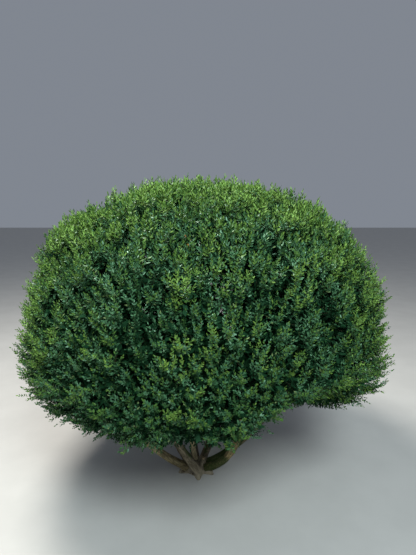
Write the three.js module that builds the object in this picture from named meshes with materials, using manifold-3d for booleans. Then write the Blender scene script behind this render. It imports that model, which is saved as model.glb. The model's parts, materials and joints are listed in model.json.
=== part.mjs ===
// A clipped box ball growing in the ground: a low root crown, eight stems that fan out of it,
// and a dense crown of eight foliage masses. Millimetres, +Z up, origin on the ground under the root crown.
// The front of the plant faces -Y and its right-hand side is +X.
import * as THREE from "three";
import { mergeVertices } from "three/addons/utils/BufferGeometryUtils.js";
import Module from "manifold-3d";

const wasm = await Module();
wasm.setup();
const { Manifold, Mesh: SolidMesh } = wasm;

const DEGREE = Math.PI / 180;
const UPWARDS = 90 * DEGREE;
const GOLDEN_ANGLE = Math.PI * (3 - Math.sqrt(5));

// The crown's clipped outline, measured from its middle.
const CROWN_MIDDLE = new THREE.Vector3(30, 60, 860);
const CROWN_RADIUS = 970;
const CROWN_RISE = 800;
const CROWN_DROP = 460;
const TOP_SQUARENESS = 2.2;
const UNDERSIDE_SQUARENESS = 2.5;

// The underside is lifted where a front stem was once cut out.
const NOTCH_LIFT = 285;
const NOTCH_AZIMUTH = -56.5 * DEGREE;
const NOTCH_WIDTH = 21 * DEGREE;

// Broad swellings and hollows of the outline: where they lie, how wide they are, how far they stand out.
const SWELLS = [
  { azimuth: 180, elevation: 40, width: 17, height: 26 },
  { azimuth: 0, elevation: 45, width: 15, height: 30 },
  { azimuth: -22, elevation: 6, width: 13, height: 36 },
  { azimuth: -31, elevation: -19, width: 10, height: 36 },
  { azimuth: 200, elevation: -32, width: 20, height: 20 },
  { azimuth: 205, elevation: 5, width: 8, height: -14 },
  { azimuth: 243, elevation: -20, width: 11, height: -16 },
  { azimuth: 286, elevation: -16, width: 9, height: 50 },
  { azimuth: 268, elevation: 33, width: 9, height: -30 },
  { azimuth: 110, elevation: 30, width: 18, height: 22 },
];

// The root crown, from its flat cut at ground level to where the stems leave it.
const ROOT_CROWN_RINGS = [
  { height: 0, radius: 98, flare: 0.16 },
  { height: 16, radius: 90, flare: 0.12 },
  { height: 34, radius: 79, flare: 0.07 },
  { height: 50, radius: 60, flare: 0.03 },
  { height: 58, radius: 32, flare: 0 },
];
const ROOT_CROWN_SIDES = 32;
const FLARE_WIDTH = 13 * DEGREE;
const JOINT_GAP = 0.3;

// Cut stubs left on the root crown by old pruning.
const STUBS = [
  { azimuth: -58, distance: 36, lean: 24, length: 84, radius: 11 },
  { azimuth: 32, distance: 40, lean: 28, length: 70, radius: 9 },
];
const STUB_FOOT = 26;
const STUB_SIDES = 7;

// The stems. Each stands at one azimuth of the root crown and leans towards another. It ends below its
// foliage mass, at an azimuth turned from the middle of that mass, and arrives there at another slope.
const STEM_FOOT = { distance: 62, height: 26 };
const STEMS = [
  { name: "right", foot: 8, leans: 4, lean: 62, butt: 22, turned: 0, enters: -40, arrives: 50 },
  { name: "back_right", foot: 56, leans: 54, lean: 40, butt: 21, turned: 0, enters: -46, arrives: 40 },
  { name: "back", foot: 103, leans: 103, lean: 34, butt: 23, turned: 0, enters: -48, arrives: 48 },
  { name: "back_left", foot: 151, leans: 152, lean: 42, butt: 20, turned: 0, enters: -44, arrives: 42 },
  { name: "front_left", foot: 203, leans: 197, lean: 58, butt: 22, turned: -6, enters: -41, arrives: 55 },
  { name: "front", foot: 276, leans: 205, lean: 34, butt: 25, turned: -16, enters: -47, arrives: 40 },
  { name: "front_right", foot: -32, leans: -24, lean: 64, butt: 21, turned: 0, enters: -26, arrives: 74 },
];
const LEAVE_PULL = 0.4;
const ARRIVE_PULL = 0.35;
const STEM_SIDES = 9;
const STEM_STEPS = 9;
const STEM_TIP_SHARE = 0.995;
const STEM_TIP_RADIUS = 13;
const TAPER_POWER = 1.3;
const FLUTE = { depth: 0.06, twist: 3 };

// The thin upright stem in the middle, which sways to the left before it turns up into the dome.
const LEADER = {
  butt: 14,
  tip: 10,
  foot: new THREE.Vector3(0, 4, STEM_FOOT.height),
  sway: new THREE.Vector3(-96, -40, 0),
  lowPull: 0.35,
  highPull: 0.4,
  share: 0.44,
};

// The foliage masses: seven round the side of the crown, and a dome on top of them.
const SIDE_MASSES = STEMS.length;
const SIDE_SPAN = (2 * Math.PI) / SIDE_MASSES;
const DOME_EDGE = 36 * DEGREE;
const SKIRT_EDGE = -50 * DEGREE;
const SKIRT_SLACK = 6 * DEGREE;
const CORE_INSIDE = 0.56;
const CORE_OUTSIDE = 0.94;
const CORE_BUMPS = 0.022;
const SIDE_NET = { columns: 7, rows: 8 };
const DOME_NET = { columns: 20, rows: 5 };
const MASS_GAP = 3;
const MASS_STEM = { share: 0.68, pull: 0.5, taper: 0.2, steps: 4 };

// Twigs and the leaves on them. A leaf stands for a spray of the real, much smaller ones. Its length is
// a share of the crown's reach, and its place is a share of the way from the shoot's start to its tip.
const TWIGS = 112;
const TWIG_CLEARANCE = 12;
const BRANCH_RADIUS = [10, 8];
const SHOOT_RADIUS = [8, 4.5];
const SHOOT_START = CORE_OUTSIDE - 2 * CORE_BUMPS;
const TIP_SHARE = [0.972, 0.998];
const LEAF_NODES = [0.05, 0.4];
const TWIG_END = 0.55;
const LEAF_LENGTH = [0.108, 0.142];
const LEAF_WIDTH_SHARE = 0.52;
const LEAF_WIDEST = 0.48;
const LEAF_THICKNESS = 7;
const LEAF_SPREAD = 61 * DEGREE;

// Points closer than this are one corner, and a direction whose rise is over this is taken as steep.
const WELD = 1e-3;
const STEEP = 0.9;

// What each salt of the chance function is for.
const SALT = { bump: 3, tip: 5, roll: 11, sideLeaf: 20, tipLeaf: 31 };
const POINTS_PER_MASS = 200;

const COLOURS = {
  bark: { color: 0x8a7d63, roughness: 0.9, metalness: 0 },
  foliage: { color: 0x33591f, roughness: 0.55, metalness: 0 },
};

// A repeatable number from 0 to 1 for an index and a salt: the fraction of a large sine.
function chance(index, salt) {
  const wave = Math.sin(index * 12.9898 + salt * 78.233) * 43758.5453;
  return wave - Math.floor(wave);
}

function between([low, high], share) {
  return low + (high - low) * share;
}

// An angle brought into the range from -180 to 180 degrees.
function wrapAngle(angle) {
  return THREE.MathUtils.euclideanModulo(angle + Math.PI, 2 * Math.PI) - Math.PI;
}

function direction(azimuth, elevation) {
  return new THREE.Vector3(
    Math.cos(elevation) * Math.cos(azimuth),
    Math.cos(elevation) * Math.sin(azimuth),
    Math.sin(elevation),
  );
}

// A point at a distance from the plant's axis and a height above the ground.
function placeRound(azimuth, distance, height) {
  return direction(azimuth, 0).multiplyScalar(distance).setZ(height);
}

// A rounded bump of height 1 around one direction of the crown.
function swellAt(swell, azimuth, elevation) {
  const across = wrapAngle(azimuth - swell.azimuth * DEGREE) * Math.cos(swell.elevation * DEGREE);
  const along = elevation - swell.elevation * DEGREE;
  return Math.exp(-(across ** 2 + along ** 2) / (swell.width * DEGREE) ** 2);
}

// How far the clipped outline lies from the crown's middle: a superellipse in section, flatter below
// than above, with the notch taken off its drop and the swells added.
function crownReach(azimuth, elevation) {
  const notch = NOTCH_LIFT * Math.exp(-((wrapAngle(azimuth - NOTCH_AZIMUTH) / NOTCH_WIDTH) ** 2));
  const above = elevation > 0;
  const height = above ? CROWN_RISE : CROWN_DROP - notch;
  const power = above ? TOP_SQUARENESS : UNDERSIDE_SQUARENESS;
  const level = (Math.cos(elevation) / CROWN_RADIUS) ** power;
  const upright = (Math.abs(Math.sin(elevation)) / height) ** power;
  const swells = SWELLS.reduce((sum, s) => sum + s.height * swellAt(s, azimuth, elevation), 0);
  return (level + upright) ** (-1 / power) + swells;
}

function crownPoint(azimuth, elevation, share) {
  return direction(azimuth, elevation)
    .multiplyScalar(share * crownReach(azimuth, elevation))
    .add(CROWN_MIDDLE);
}

// A point's azimuth, elevation, distance from the crown's middle, and share of the crown's reach there.
function crownPlace(point) {
  const from = point.clone().sub(CROWN_MIDDLE);
  const azimuth = Math.atan2(from.y, from.x);
  const elevation = Math.atan2(from.z, Math.hypot(from.x, from.y));
  const distance = from.length();
  return { azimuth, elevation, distance, share: distance / crownReach(azimuth, elevation) };
}

// A closed geometry from points and the triangles between them.
function closedGeometry(points, triangles) {
  const geometry = new THREE.BufferGeometry().setFromPoints(points);
  geometry.setIndex(triangles.flat());
  return geometry;
}

// Triangles between rings of equal size, with the first and last ring closed by a fan.
function ringTriangles(rings, sides) {
  const triangles = [];
  for (let ring = 0; ring < rings - 1; ring++) {
    for (let side = 0; side < sides; side++) {
      const next = (side + 1) % sides;
      const [a, b] = [ring * sides + side, ring * sides + next];
      triangles.push([a, b, b + sides], [a, b + sides, a + sides]);
    }
  }
  const last = (rings - 1) * sides;
  for (let side = 1; side < sides - 1; side++) {
    triangles.push([0, side + 1, side], [last, last + side, last + side + 1]);
  }
  return triangles;
}

// A limb along a curve: sections whose radius is a function of the share of the length and the turn.
function limbGeometry(curve, radiusAt, sides, steps) {
  const { normals, binormals } = curve.computeFrenetFrames(steps, false);
  const points = [];
  for (let step = 0; step <= steps; step++) {
    const centre = curve.getPointAt(step / steps);
    for (let side = 0; side < sides; side++) {
      const turn = (2 * Math.PI * side) / sides;
      const radius = radiusAt(step / steps, turn);
      points.push(
        centre
          .clone()
          .addScaledVector(normals[step], radius * Math.cos(turn))
          .addScaledVector(binormals[step], radius * Math.sin(turn)),
      );
    }
  }
  return closedGeometry(points, ringTriangles(steps + 1, sides));
}

function solidOf(geometry) {
  const merged = mergeVertices(geometry, WELD);
  return new Manifold(
    new SolidMesh({
      numProp: 3,
      vertProperties: merged.attributes.position.array,
      triVerts: new Uint32Array(merged.index.array),
    }),
  );
}

function geometryOf(solid) {
  const mesh = solid.getMesh();
  const geometry = new THREE.BufferGeometry();
  geometry.setAttribute("position", new THREE.BufferAttribute(mesh.vertProperties, 3));
  geometry.setIndex(new THREE.BufferAttribute(mesh.triVerts, 1));
  geometry.computeVertexNormals();
  return geometry;
}

// The largest body of a solid, without scraps that a boolean may leave.
function largestBody(solid) {
  return solid.decompose().reduce((best, body) => (body.volume() > best.volume() ? body : best));
}

function named(name, solid, finish) {
  const mesh = new THREE.Mesh(geometryOf(solid), new THREE.MeshStandardMaterial(finish));
  mesh.name = name;
  return mesh;
}

// The root crown, with a flare under each stem. A margin makes the larger copy that the stems are cut with.
function rootCrownSolid(margin) {
  const points = ROOT_CROWN_RINGS.flatMap((ring, level) =>
    Array.from({ length: ROOT_CROWN_SIDES }, (_, side) => {
      const turn = (2 * Math.PI * side) / ROOT_CROWN_SIDES;
      const flares = STEMS.map((stem) =>
        Math.exp(-((wrapAngle(turn - stem.foot * DEGREE) / FLARE_WIDTH) ** 2)),
      );
      const radius = ring.radius * (1 + ring.flare * Math.max(...flares)) + margin;
      return placeRound(turn, radius, level === 0 ? -margin : ring.height + margin);
    }),
  );
  return solidOf(closedGeometry(points, ringTriangles(ROOT_CROWN_RINGS.length, ROOT_CROWN_SIDES)));
}

// A straight cut stub that leans out of the root crown. A margin makes the copy that the stems are cut with.
function stubSolid(stub, margin) {
  const azimuth = stub.azimuth * DEGREE;
  const foot = placeRound(azimuth, stub.distance, STUB_FOOT);
  const tip = direction(azimuth, UPWARDS - stub.lean * DEGREE)
    .multiplyScalar(stub.length + margin)
    .add(foot);
  return solidOf(limbGeometry(new THREE.LineCurve3(foot, tip), () => stub.radius + margin, STUB_SIDES, 1));
}

function footSolid(margin) {
  return Manifold.union([rootCrownSolid(margin), ...STUBS.map((stub) => stubSolid(stub, margin))]);
}

// A stem's centre line: it leaves the root crown at its lean and arrives below its mass at another slope.
function stemCurve(stem, massAzimuth) {
  const foot = placeRound(stem.foot * DEGREE, STEM_FOOT.distance, STEM_FOOT.height);
  const end = massAzimuth + stem.turned * DEGREE;
  const tip = crownPoint(end, stem.enters * DEGREE, STEM_TIP_SHARE);
  const span = foot.distanceTo(tip);
  const leave = direction(stem.leans * DEGREE, UPWARDS - stem.lean * DEGREE);
  const arrive = direction(end, stem.arrives * DEGREE);
  const low = foot.clone().addScaledVector(leave, LEAVE_PULL * span);
  const high = tip.clone().addScaledVector(arrive, -ARRIVE_PULL * span);
  return new THREE.CubicBezierCurve3(foot, low, high, tip);
}

function leaderCurve() {
  const tip = crownPoint(0, UPWARDS, LEADER.share);
  const rise = tip.z - LEADER.foot.z;
  const low = LEADER.foot.clone().add(LEADER.sway);
  low.z += LEADER.lowPull * rise;
  const high = tip.clone();
  high.z -= LEADER.highPull * rise;
  return new THREE.CubicBezierCurve3(LEADER.foot, low, high, tip);
}

// The taper is quick at the butt and slow above it, and the section is a little flattened as it twists.
function stemSolid(curve, butt, tip, salt) {
  const radiusAt = (share, turn) => {
    const flute = 1 + FLUTE.depth * Math.cos(2 * turn + salt + FLUTE.twist * share);
    return tip + (butt - tip) * (1 - share) ** TAPER_POWER * flute;
  };
  return solidOf(limbGeometry(curve, radiusAt, STEM_SIDES, STEM_STEPS));
}

// A side mass's space is a wedge of the crown below the dome, and the dome's space is all above its edge.
function sideSpace(middle) {
  return ({ azimuth, elevation, distance }, margin) => {
    const away = SIDE_SPAN / 2 - Math.abs(wrapAngle(azimuth - middle));
    return (
      distance * Math.cos(elevation) * Math.sin(away) > margin &&
      distance * Math.sin(DOME_EDGE - elevation) > margin &&
      elevation > SKIRT_EDGE - SKIRT_SLACK
    );
  };
}

function domeSpace({ elevation, distance }, margin) {
  return distance * Math.sin(elevation - DOME_EDGE) > margin;
}

// A point is a mass's own if it is inside the crown's outline and clear of the masses around it.
function isInside(space, point, margin) {
  const place = crownPlace(point);
  return place.share < 1 && space(place, margin);
}

// A net of directions over a side mass, with the triangles between them and the border round them.
function sideNet(middle) {
  const { columns, rows } = SIDE_NET;
  const clear = MASS_GAP / (CORE_INSIDE * CROWN_RADIUS);
  const half = SIDE_SPAN / 2 - clear;
  const top = DOME_EDGE - clear;
  const at = (row, column) => row * (columns + 1) + column;
  const places = [];
  const triangles = [];
  for (let row = 0; row <= rows; row++) {
    for (let column = 0; column <= columns; column++) {
      places.push({
        azimuth: middle - half + (2 * half * column) / columns,
        elevation: SKIRT_EDGE + ((top - SKIRT_EDGE) * row) / rows,
      });
      if (row === rows || column === columns) continue;
      const [a, b] = [at(row, column), at(row, column + 1)];
      const [c, d] = [at(row + 1, column + 1), at(row + 1, column)];
      triangles.push([a, b, c], [a, c, d]);
    }
  }
  const border = [];
  for (let column = 0; column < columns; column++) border.push(at(0, column));
  for (let row = 0; row < rows; row++) border.push(at(row, columns));
  for (let column = columns; column > 0; column--) border.push(at(rows, column));
  for (let row = rows; row > 0; row--) border.push(at(row, 0));
  return { places, triangles, border };
}

// The same for the dome: rings of directions that close at the top.
function domeNet() {
  const { columns, rows } = DOME_NET;
  const edge = DOME_EDGE + MASS_GAP / (CORE_INSIDE * CROWN_RADIUS);
  const pole = rows * columns;
  const places = [];
  const triangles = [];
  for (let row = 0; row < rows; row++) {
    for (let column = 0; column < columns; column++) {
      places.push({
        azimuth: (2 * Math.PI * column) / columns,
        elevation: edge + ((UPWARDS - edge) * row) / rows,
      });
      const [a, b] = [row * columns + column, row * columns + ((column + 1) % columns)];
      if (row === rows - 1) triangles.push([a, b, pole]);
      else triangles.push([a, b, b + columns], [a, b + columns, a + columns]);
    }
  }
  places.push({ azimuth: 0, elevation: UPWARDS });
  return { places, triangles, border: Array.from({ length: columns }, (_, column) => column) };
}

// A mass's core: a net of directions at two shares of the crown's reach, joined along its border.
// The inner side is smooth and the outer side is uneven.
function coreSolid({ places, triangles, border }, massIndex) {
  const count = places.length;
  const outer = places.map(({ azimuth, elevation }, k) => {
    const bump = CORE_BUMPS * (2 * chance(massIndex * POINTS_PER_MASS + k, SALT.bump) - 1);
    return crownPoint(azimuth, elevation, CORE_OUTSIDE + bump);
  });
  const inner = places.map(({ azimuth, elevation }) => crownPoint(azimuth, elevation, CORE_INSIDE));
  const inwards = triangles.map(([a, b, c]) => [a + count, c + count, b + count]);
  const walls = border.flatMap((a, k) => {
    const b = border[(k + 1) % border.length];
    return [
      [a, a + count, b + count],
      [a, b + count, b],
    ];
  });
  return solidOf(closedGeometry([...outer, ...inner], [...triangles, ...inwards, ...walls]));
}

// A leaf: where its root is, the way it points, the way its blade spreads, and its length.
function leafAt(root, along, across, length) {
  const middle = root.clone().addScaledVector(along, LEAF_WIDEST * length);
  const half = (LEAF_WIDTH_SHARE * length) / 2;
  return {
    root,
    face: new THREE.Vector3().crossVectors(along, across).normalize(),
    middle,
    tip: root.clone().addScaledVector(along, length),
    left: middle.clone().addScaledVector(across, -half),
    right: middle.clone().addScaledVector(across, half),
  };
}

// A leaf's solid has eight faces: a pointed oval blade with a low ridge above and below.
function leafSolid(leaf) {
  const ridges = [1, -1].map((side) =>
    leaf.middle.clone().addScaledVector(leaf.face, (side * LEAF_THICKNESS) / 2),
  );
  const [root, tip, left, right, above, below] = [0, 1, 2, 3, 4, 5];
  return solidOf(
    closedGeometry(
      [leaf.root, leaf.tip, leaf.left, leaf.right, ...ridges],
      [
        [root, left, above],
        [left, tip, above],
        [tip, right, above],
        [right, root, above],
        [left, root, below],
        [tip, left, below],
        [right, tip, below],
        [root, right, below],
      ],
    ),
  );
}

// The leaves of one twig: crossed pairs along it and one at its tip, shorter where the crown is shallower.
function twigLeaves(from, tip, reach, index) {
  const along = tip.clone().sub(from).normalize();
  const other = Math.abs(along.z) > STEEP ? new THREE.Vector3(1, 0, 0) : new THREE.Vector3(0, 0, 1);
  const side = new THREE.Vector3().crossVectors(along, other).normalize();
  side.applyAxisAngle(along, Math.PI * chance(index, SALT.roll));
  const leaves = LEAF_NODES.flatMap((share, node) => {
    const root = from.clone().lerp(tip, share);
    const out = side.clone().applyAxisAngle(along, node * UPWARDS);
    const across = new THREE.Vector3().crossVectors(along, out);
    return [1, -1].map((sign) => {
      const way = along.clone().multiplyScalar(Math.cos(LEAF_SPREAD));
      way.addScaledVector(out, sign * Math.sin(LEAF_SPREAD));
      const length = reach * between(LEAF_LENGTH, chance(index, SALT.sideLeaf + node * 2 + sign));
      return leafAt(root, way, across, length);
    });
  });
  const length = reach * between(LEAF_LENGTH, chance(index, SALT.tipLeaf));
  const root = tip.clone().addScaledVector(along, -length);
  return [...leaves, leafAt(root, along, side, length)];
}

// The places on the clipped outline that twigs grow to, spread evenly by the golden angle.
function twigTargets() {
  const low = Math.sin(SKIRT_EDGE);
  return Array.from({ length: TWIGS }, (_, index) => ({
    index,
    azimuth: index * GOLDEN_ANGLE,
    elevation: Math.asin(low + ((1 - low) * (index + 0.5)) / TWIGS),
    share: between(TIP_SHARE, chance(index, SALT.tip)),
  }));
}

// A straight three-sided twig.
function twigSolid(from, to, radii) {
  return solidOf(limbGeometry(new THREE.LineCurve3(from, to), (share) => between(radii, share), 3, 1));
}

function isClear(solid, others) {
  return solid.intersect(others).isEmpty();
}

// One mass: its stem grows on from the tip of the limb below to the mass's heart. A branch runs from there
// to each target in the mass's space, and its shoot and leaves stand out of the core.
function massSolid({ space, core, heart, stemRadius }, limbCurve, limbs) {
  const way = limbCurve.getTangentAt(1);
  const start = limbCurve.getPointAt(1).addScaledVector(way, JOINT_GAP);
  const middle = crownPoint(heart.azimuth, heart.elevation, MASS_STEM.share);
  const bend = start.clone().addScaledVector(way, MASS_STEM.pull * start.distanceTo(middle));
  const stemLine = new THREE.QuadraticBezierCurve3(start, bend, middle);
  const radiusAt = (share) => stemRadius * (1 - MASS_STEM.taper * share);
  const pieces = [core, solidOf(limbGeometry(stemLine, radiusAt, STEM_SIDES, MASS_STEM.steps))];
  for (const { index, azimuth, elevation, share } of twigTargets()) {
    const from = crownPoint(azimuth, elevation, SHOOT_START);
    const tip = crownPoint(azimuth, elevation, share);
    if (!isInside(space, from, TWIG_CLEARANCE) || !isInside(space, tip, TWIG_CLEARANCE)) continue;
    const end = from.clone().lerp(tip, TWIG_END);
    const twig = twigSolid(middle, from, BRANCH_RADIUS).add(twigSolid(from, end, SHOOT_RADIUS));
    if (!isClear(twig, limbs)) continue;
    const leaves = twigLeaves(from, tip, crownReach(azimuth, elevation), index)
      .filter(({ left, right, tip: end }) => [left, right, end].every((at) => isInside(space, at, MASS_GAP)))
      .map(leafSolid)
      .filter((leaf) => isClear(leaf, limbs));
    pieces.push(twig, ...leaves);
  }
  return largestBody(Manifold.union(pieces));
}

function boxBall() {
  const group = new THREE.Group();
  group.add(named("root_crown", footSolid(0), COLOURS.bark));
  const cutter = footSolid(JOINT_GAP);
  const stems = STEMS.map((stem, k) => {
    const azimuth = k * SIDE_SPAN;
    const curve = stemCurve(stem, azimuth);
    const mass = {
      space: sideSpace(azimuth),
      core: coreSolid(sideNet(azimuth), k),
      heart: { azimuth, elevation: 0 },
      stemRadius: STEM_TIP_RADIUS,
    };
    return { name: stem.name, mass, curve, solid: stemSolid(curve, stem.butt, STEM_TIP_RADIUS, k) };
  });
  const leader = leaderCurve();
  const dome = {
    space: domeSpace,
    core: coreSolid(domeNet(), SIDE_MASSES),
    heart: { azimuth: 0, elevation: UPWARDS },
    stemRadius: LEADER.tip,
  };
  const leaderSolid = stemSolid(leader, LEADER.butt, LEADER.tip, SIDE_MASSES);
  stems.push({ name: "top", mass: dome, curve: leader, solid: leaderSolid });
  const limbs = Manifold.union(stems.map(({ solid }) => solid));
  for (const { name, mass, curve, solid } of stems) {
    const stemName = name === "top" ? "stem_leader" : `stem_${name}`;
    group.add(named(stemName, largestBody(solid.subtract(cutter)), COLOURS.bark));
    group.add(named(`foliage_${name}`, massSolid(mass, curve, limbs), COLOURS.foliage));
  }
  return group;
}

export default boxBall();
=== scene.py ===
"""A clipped box ball growing in the ground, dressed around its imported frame.

A low root crown carries eight bare stems, which lean outwards into a broad, flattened ball of small
glossy leaves. Metres, +Z up, with the origin on the ground under the root crown. The front of the
plant faces -Y and its right-hand side is +X. Azimuths run from +X towards +Y, in degrees.
"""

from __future__ import annotations

import json
import logging
from dataclasses import dataclass, field
from enum import Enum, IntEnum

import bpy
import numpy as np
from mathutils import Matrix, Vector

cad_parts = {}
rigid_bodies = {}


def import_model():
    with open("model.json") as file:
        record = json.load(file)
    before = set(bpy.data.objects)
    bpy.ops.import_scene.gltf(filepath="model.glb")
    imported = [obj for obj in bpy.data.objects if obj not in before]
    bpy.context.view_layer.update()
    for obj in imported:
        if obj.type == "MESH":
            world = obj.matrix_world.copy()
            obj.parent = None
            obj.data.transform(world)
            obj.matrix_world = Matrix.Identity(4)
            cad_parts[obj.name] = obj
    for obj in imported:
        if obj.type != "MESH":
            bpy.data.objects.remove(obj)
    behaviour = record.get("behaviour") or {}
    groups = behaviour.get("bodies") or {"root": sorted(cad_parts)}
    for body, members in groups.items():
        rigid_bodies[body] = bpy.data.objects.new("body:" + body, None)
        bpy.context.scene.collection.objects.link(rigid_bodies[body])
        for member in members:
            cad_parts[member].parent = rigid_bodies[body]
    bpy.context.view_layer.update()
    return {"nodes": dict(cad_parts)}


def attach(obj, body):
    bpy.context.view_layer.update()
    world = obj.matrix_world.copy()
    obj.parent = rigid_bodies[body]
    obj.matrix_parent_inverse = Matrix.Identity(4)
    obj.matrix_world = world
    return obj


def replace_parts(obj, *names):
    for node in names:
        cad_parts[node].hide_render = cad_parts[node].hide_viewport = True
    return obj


logging.basicConfig(level=logging.INFO, format="%(message)s")
LOG = logging.getLogger("box_ball")

Array = np.ndarray
Colour = tuple[float, float, float]

BODY = "root"
BARK_SLOT = "bark"
LEAF_SLOT = "foliage"
GRAIN = "grain"

GOLDEN_ANGLE = np.pi * (3 - np.sqrt(5))
HASH_STEP = 12.9898
HASH_SALT = 78.233
HASH_GAIN = 43758.5453
LATTICE = np.array([1.0, 57.0, 113.0])
SKY = np.array([0.0, 0.0, 1.0])
TINY = 1e-12

MIX_FIRST = 6
MIX_SECOND = 7
MIX_RESULT = 2


class Salt(IntEnum):
    """Which of many repeatable chance patterns each choice takes."""

    KNOBS = 51
    WRINKLES = 52
    STUBS = 60
    KNOTS = 71
    RIDGES = 72
    BRANCHES = 101
    BRANCHLETS = 111
    TWIGS = 121
    BRANCHLET_DIPS = 201
    TUFT_DIPS = 202
    GAPS = 203
    VALLEYS = 204
    SHOOTS = 211
    SHOOT_DEPTHS = 214
    STRAYS = 215
    STRAY_LENGTHS = 216
    BRANCHLET_FRESHNESS = 231
    TUFT_FRESHNESS = 232
    SHOOT_FRESHNESS = 233
    PAINTED_SHEEN = 241
    PALE = 242
    RUSTY = 243
    LEAF_FRESHNESS = 244
    ODD_LEAVES = 245
    LEAVES = 251
    SHADED_LEAVES = 271
    WEAK_SHOOTS = 340


class LimbDraw(IntEnum):
    """How far past the salt of its order a limb's own choices lie. Vectors take three in a row."""

    LEAVE = 5
    DEPTH = 7
    GROWTH = 8


class WeakDraw(IntEnum):
    """How far past the salt of its kind a weak shoot's own choices lie."""

    LEAVE = 1
    STRAY = 2
    LENGTH = 5


class LeafDraw(IntEnum):
    """How far past the salt of its sprig a leaf's own choices lie."""

    SIDE = 1
    PLACE = 4
    OPENING = 5
    ANGLE = 8
    FACE = 9
    LENGTH = 12
    VIGOUR = 13


def chance(index: Array | float, salt: int) -> Array:
    """A repeatable number from 0 to 1: the fraction of a large sine of the index and the salt."""
    wave = np.sin(np.asarray(index, float) * HASH_STEP + salt * HASH_SALT) * HASH_GAIN
    return wave - np.floor(wave)


def spread(index: Array | float, salt: int) -> Array:
    """A repeatable number from -1 to 1 for an index and a salt."""
    return 2 * chance(index, salt) - 1


def spread_vectors(index: Array, salt: int) -> Array:
    """Repeatable vectors inside a cube from -1 to 1, one for each index."""
    return np.stack([spread(index, salt), spread(index, salt + 1), spread(index, salt + 2)], axis=-1)


def between(limits: tuple[float, float], share: Array | float) -> Array:
    """The value that lies at a share of the way between two limits."""
    return limits[0] + (limits[1] - limits[0]) * share


def wrapped(angle: Array | float) -> Array:
    """An angle in radians, brought into the range from -pi to pi."""
    return np.mod(angle + np.pi, 2 * np.pi) - np.pi


def ease(low: float, high: float, value: Array) -> Array:
    """A smooth step from 0 at the low value to 1 at the high one."""
    share = np.clip((value - low) / (high - low), 0, 1)
    return share * share * (3 - 2 * share)


def unit(vectors: Array) -> Array:
    """The vectors at length 1."""
    return vectors / np.maximum(np.linalg.norm(vectors, axis=-1, keepdims=True), TINY)


def direction(azimuth: Array | float, elevation: Array | float) -> Array:
    """Unit vectors from azimuths and elevations, by their cosines and sines.

    Args:
        azimuth: Azimuths in radians.
        elevation: Elevations in radians.

    Returns:
        The vectors, with x, y and z in the last axis.
    """
    level = np.cos(elevation)
    parts = [level * np.cos(azimuth), level * np.sin(azimuth), np.sin(elevation)]
    return np.stack(np.broadcast_arrays(*parts), axis=-1)


def nearest(places: Array, others: Array, block: int = 1000) -> Array:
    """The index of the other direction nearest to each direction.

    Args:
        places: Unit vectors, one a row.
        others: The unit vectors to choose from.
        block: How many rows are compared at a time.

    Returns:
        One index into others for each row, that of the largest dot product.
    """
    parts = [places[at : at + block] @ others.T for at in range(0, len(places), block)]
    return np.concatenate([part.argmax(axis=1) for part in parts])


def grain(points: Array, size: float, salt: int) -> Array:
    """Smooth noise from -1 to 1: chance at the corners of a lattice, blended by eased distances.

    Args:
        points: Places in metres, with x, y and z in the last axis.
        size: The lattice's pitch in metres.
        salt: Which of many patterns to take.

    Returns:
        The noise at each place.
    """
    cell = points / size
    corner = np.floor(cell)
    part = cell - corner
    part = part * part * (3 - 2 * part)
    total = np.zeros(points.shape[:-1])
    for offset in np.ndindex(2, 2, 2):
        weight = np.prod(np.where(offset, part, 1 - part), axis=-1)
        total += weight * chance((corner + offset) @ LATTICE, salt)
    return 2 * total - 1


def bezier(control: Array, share: Array) -> Array:
    """Points on a cubic curve: its control points weighed by the Bernstein polynomials.

    Args:
        control: The four control points.
        share: Where on the curve each point lies, from 0 to 1.

    Returns:
        The points, one a row.
    """
    s = share[..., None]
    a, b, c, d = control
    return a * (1 - s) ** 3 + 3 * b * s * (1 - s) ** 2 + 3 * c * s**2 * (1 - s) + d * s**3


def even_line(control: Array, count: int, fine: int = 400) -> Array:
    """A cubic curve as points at even distances along it.

    Args:
        control: The curve's four control points.
        count: How many points to return.
        fine: How many points the length is measured with.

    Returns:
        The points, found by reading each coordinate back at even shares of the summed length.
    """
    line = bezier(control, np.linspace(0, 1, fine))
    walked = np.concatenate([[0], np.cumsum(np.linalg.norm(np.diff(line, axis=0), axis=1))])
    at = np.linspace(0, walked[-1], count)
    return np.stack([np.interp(at, walked, line[:, axis]) for axis in range(3)], axis=1)


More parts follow.
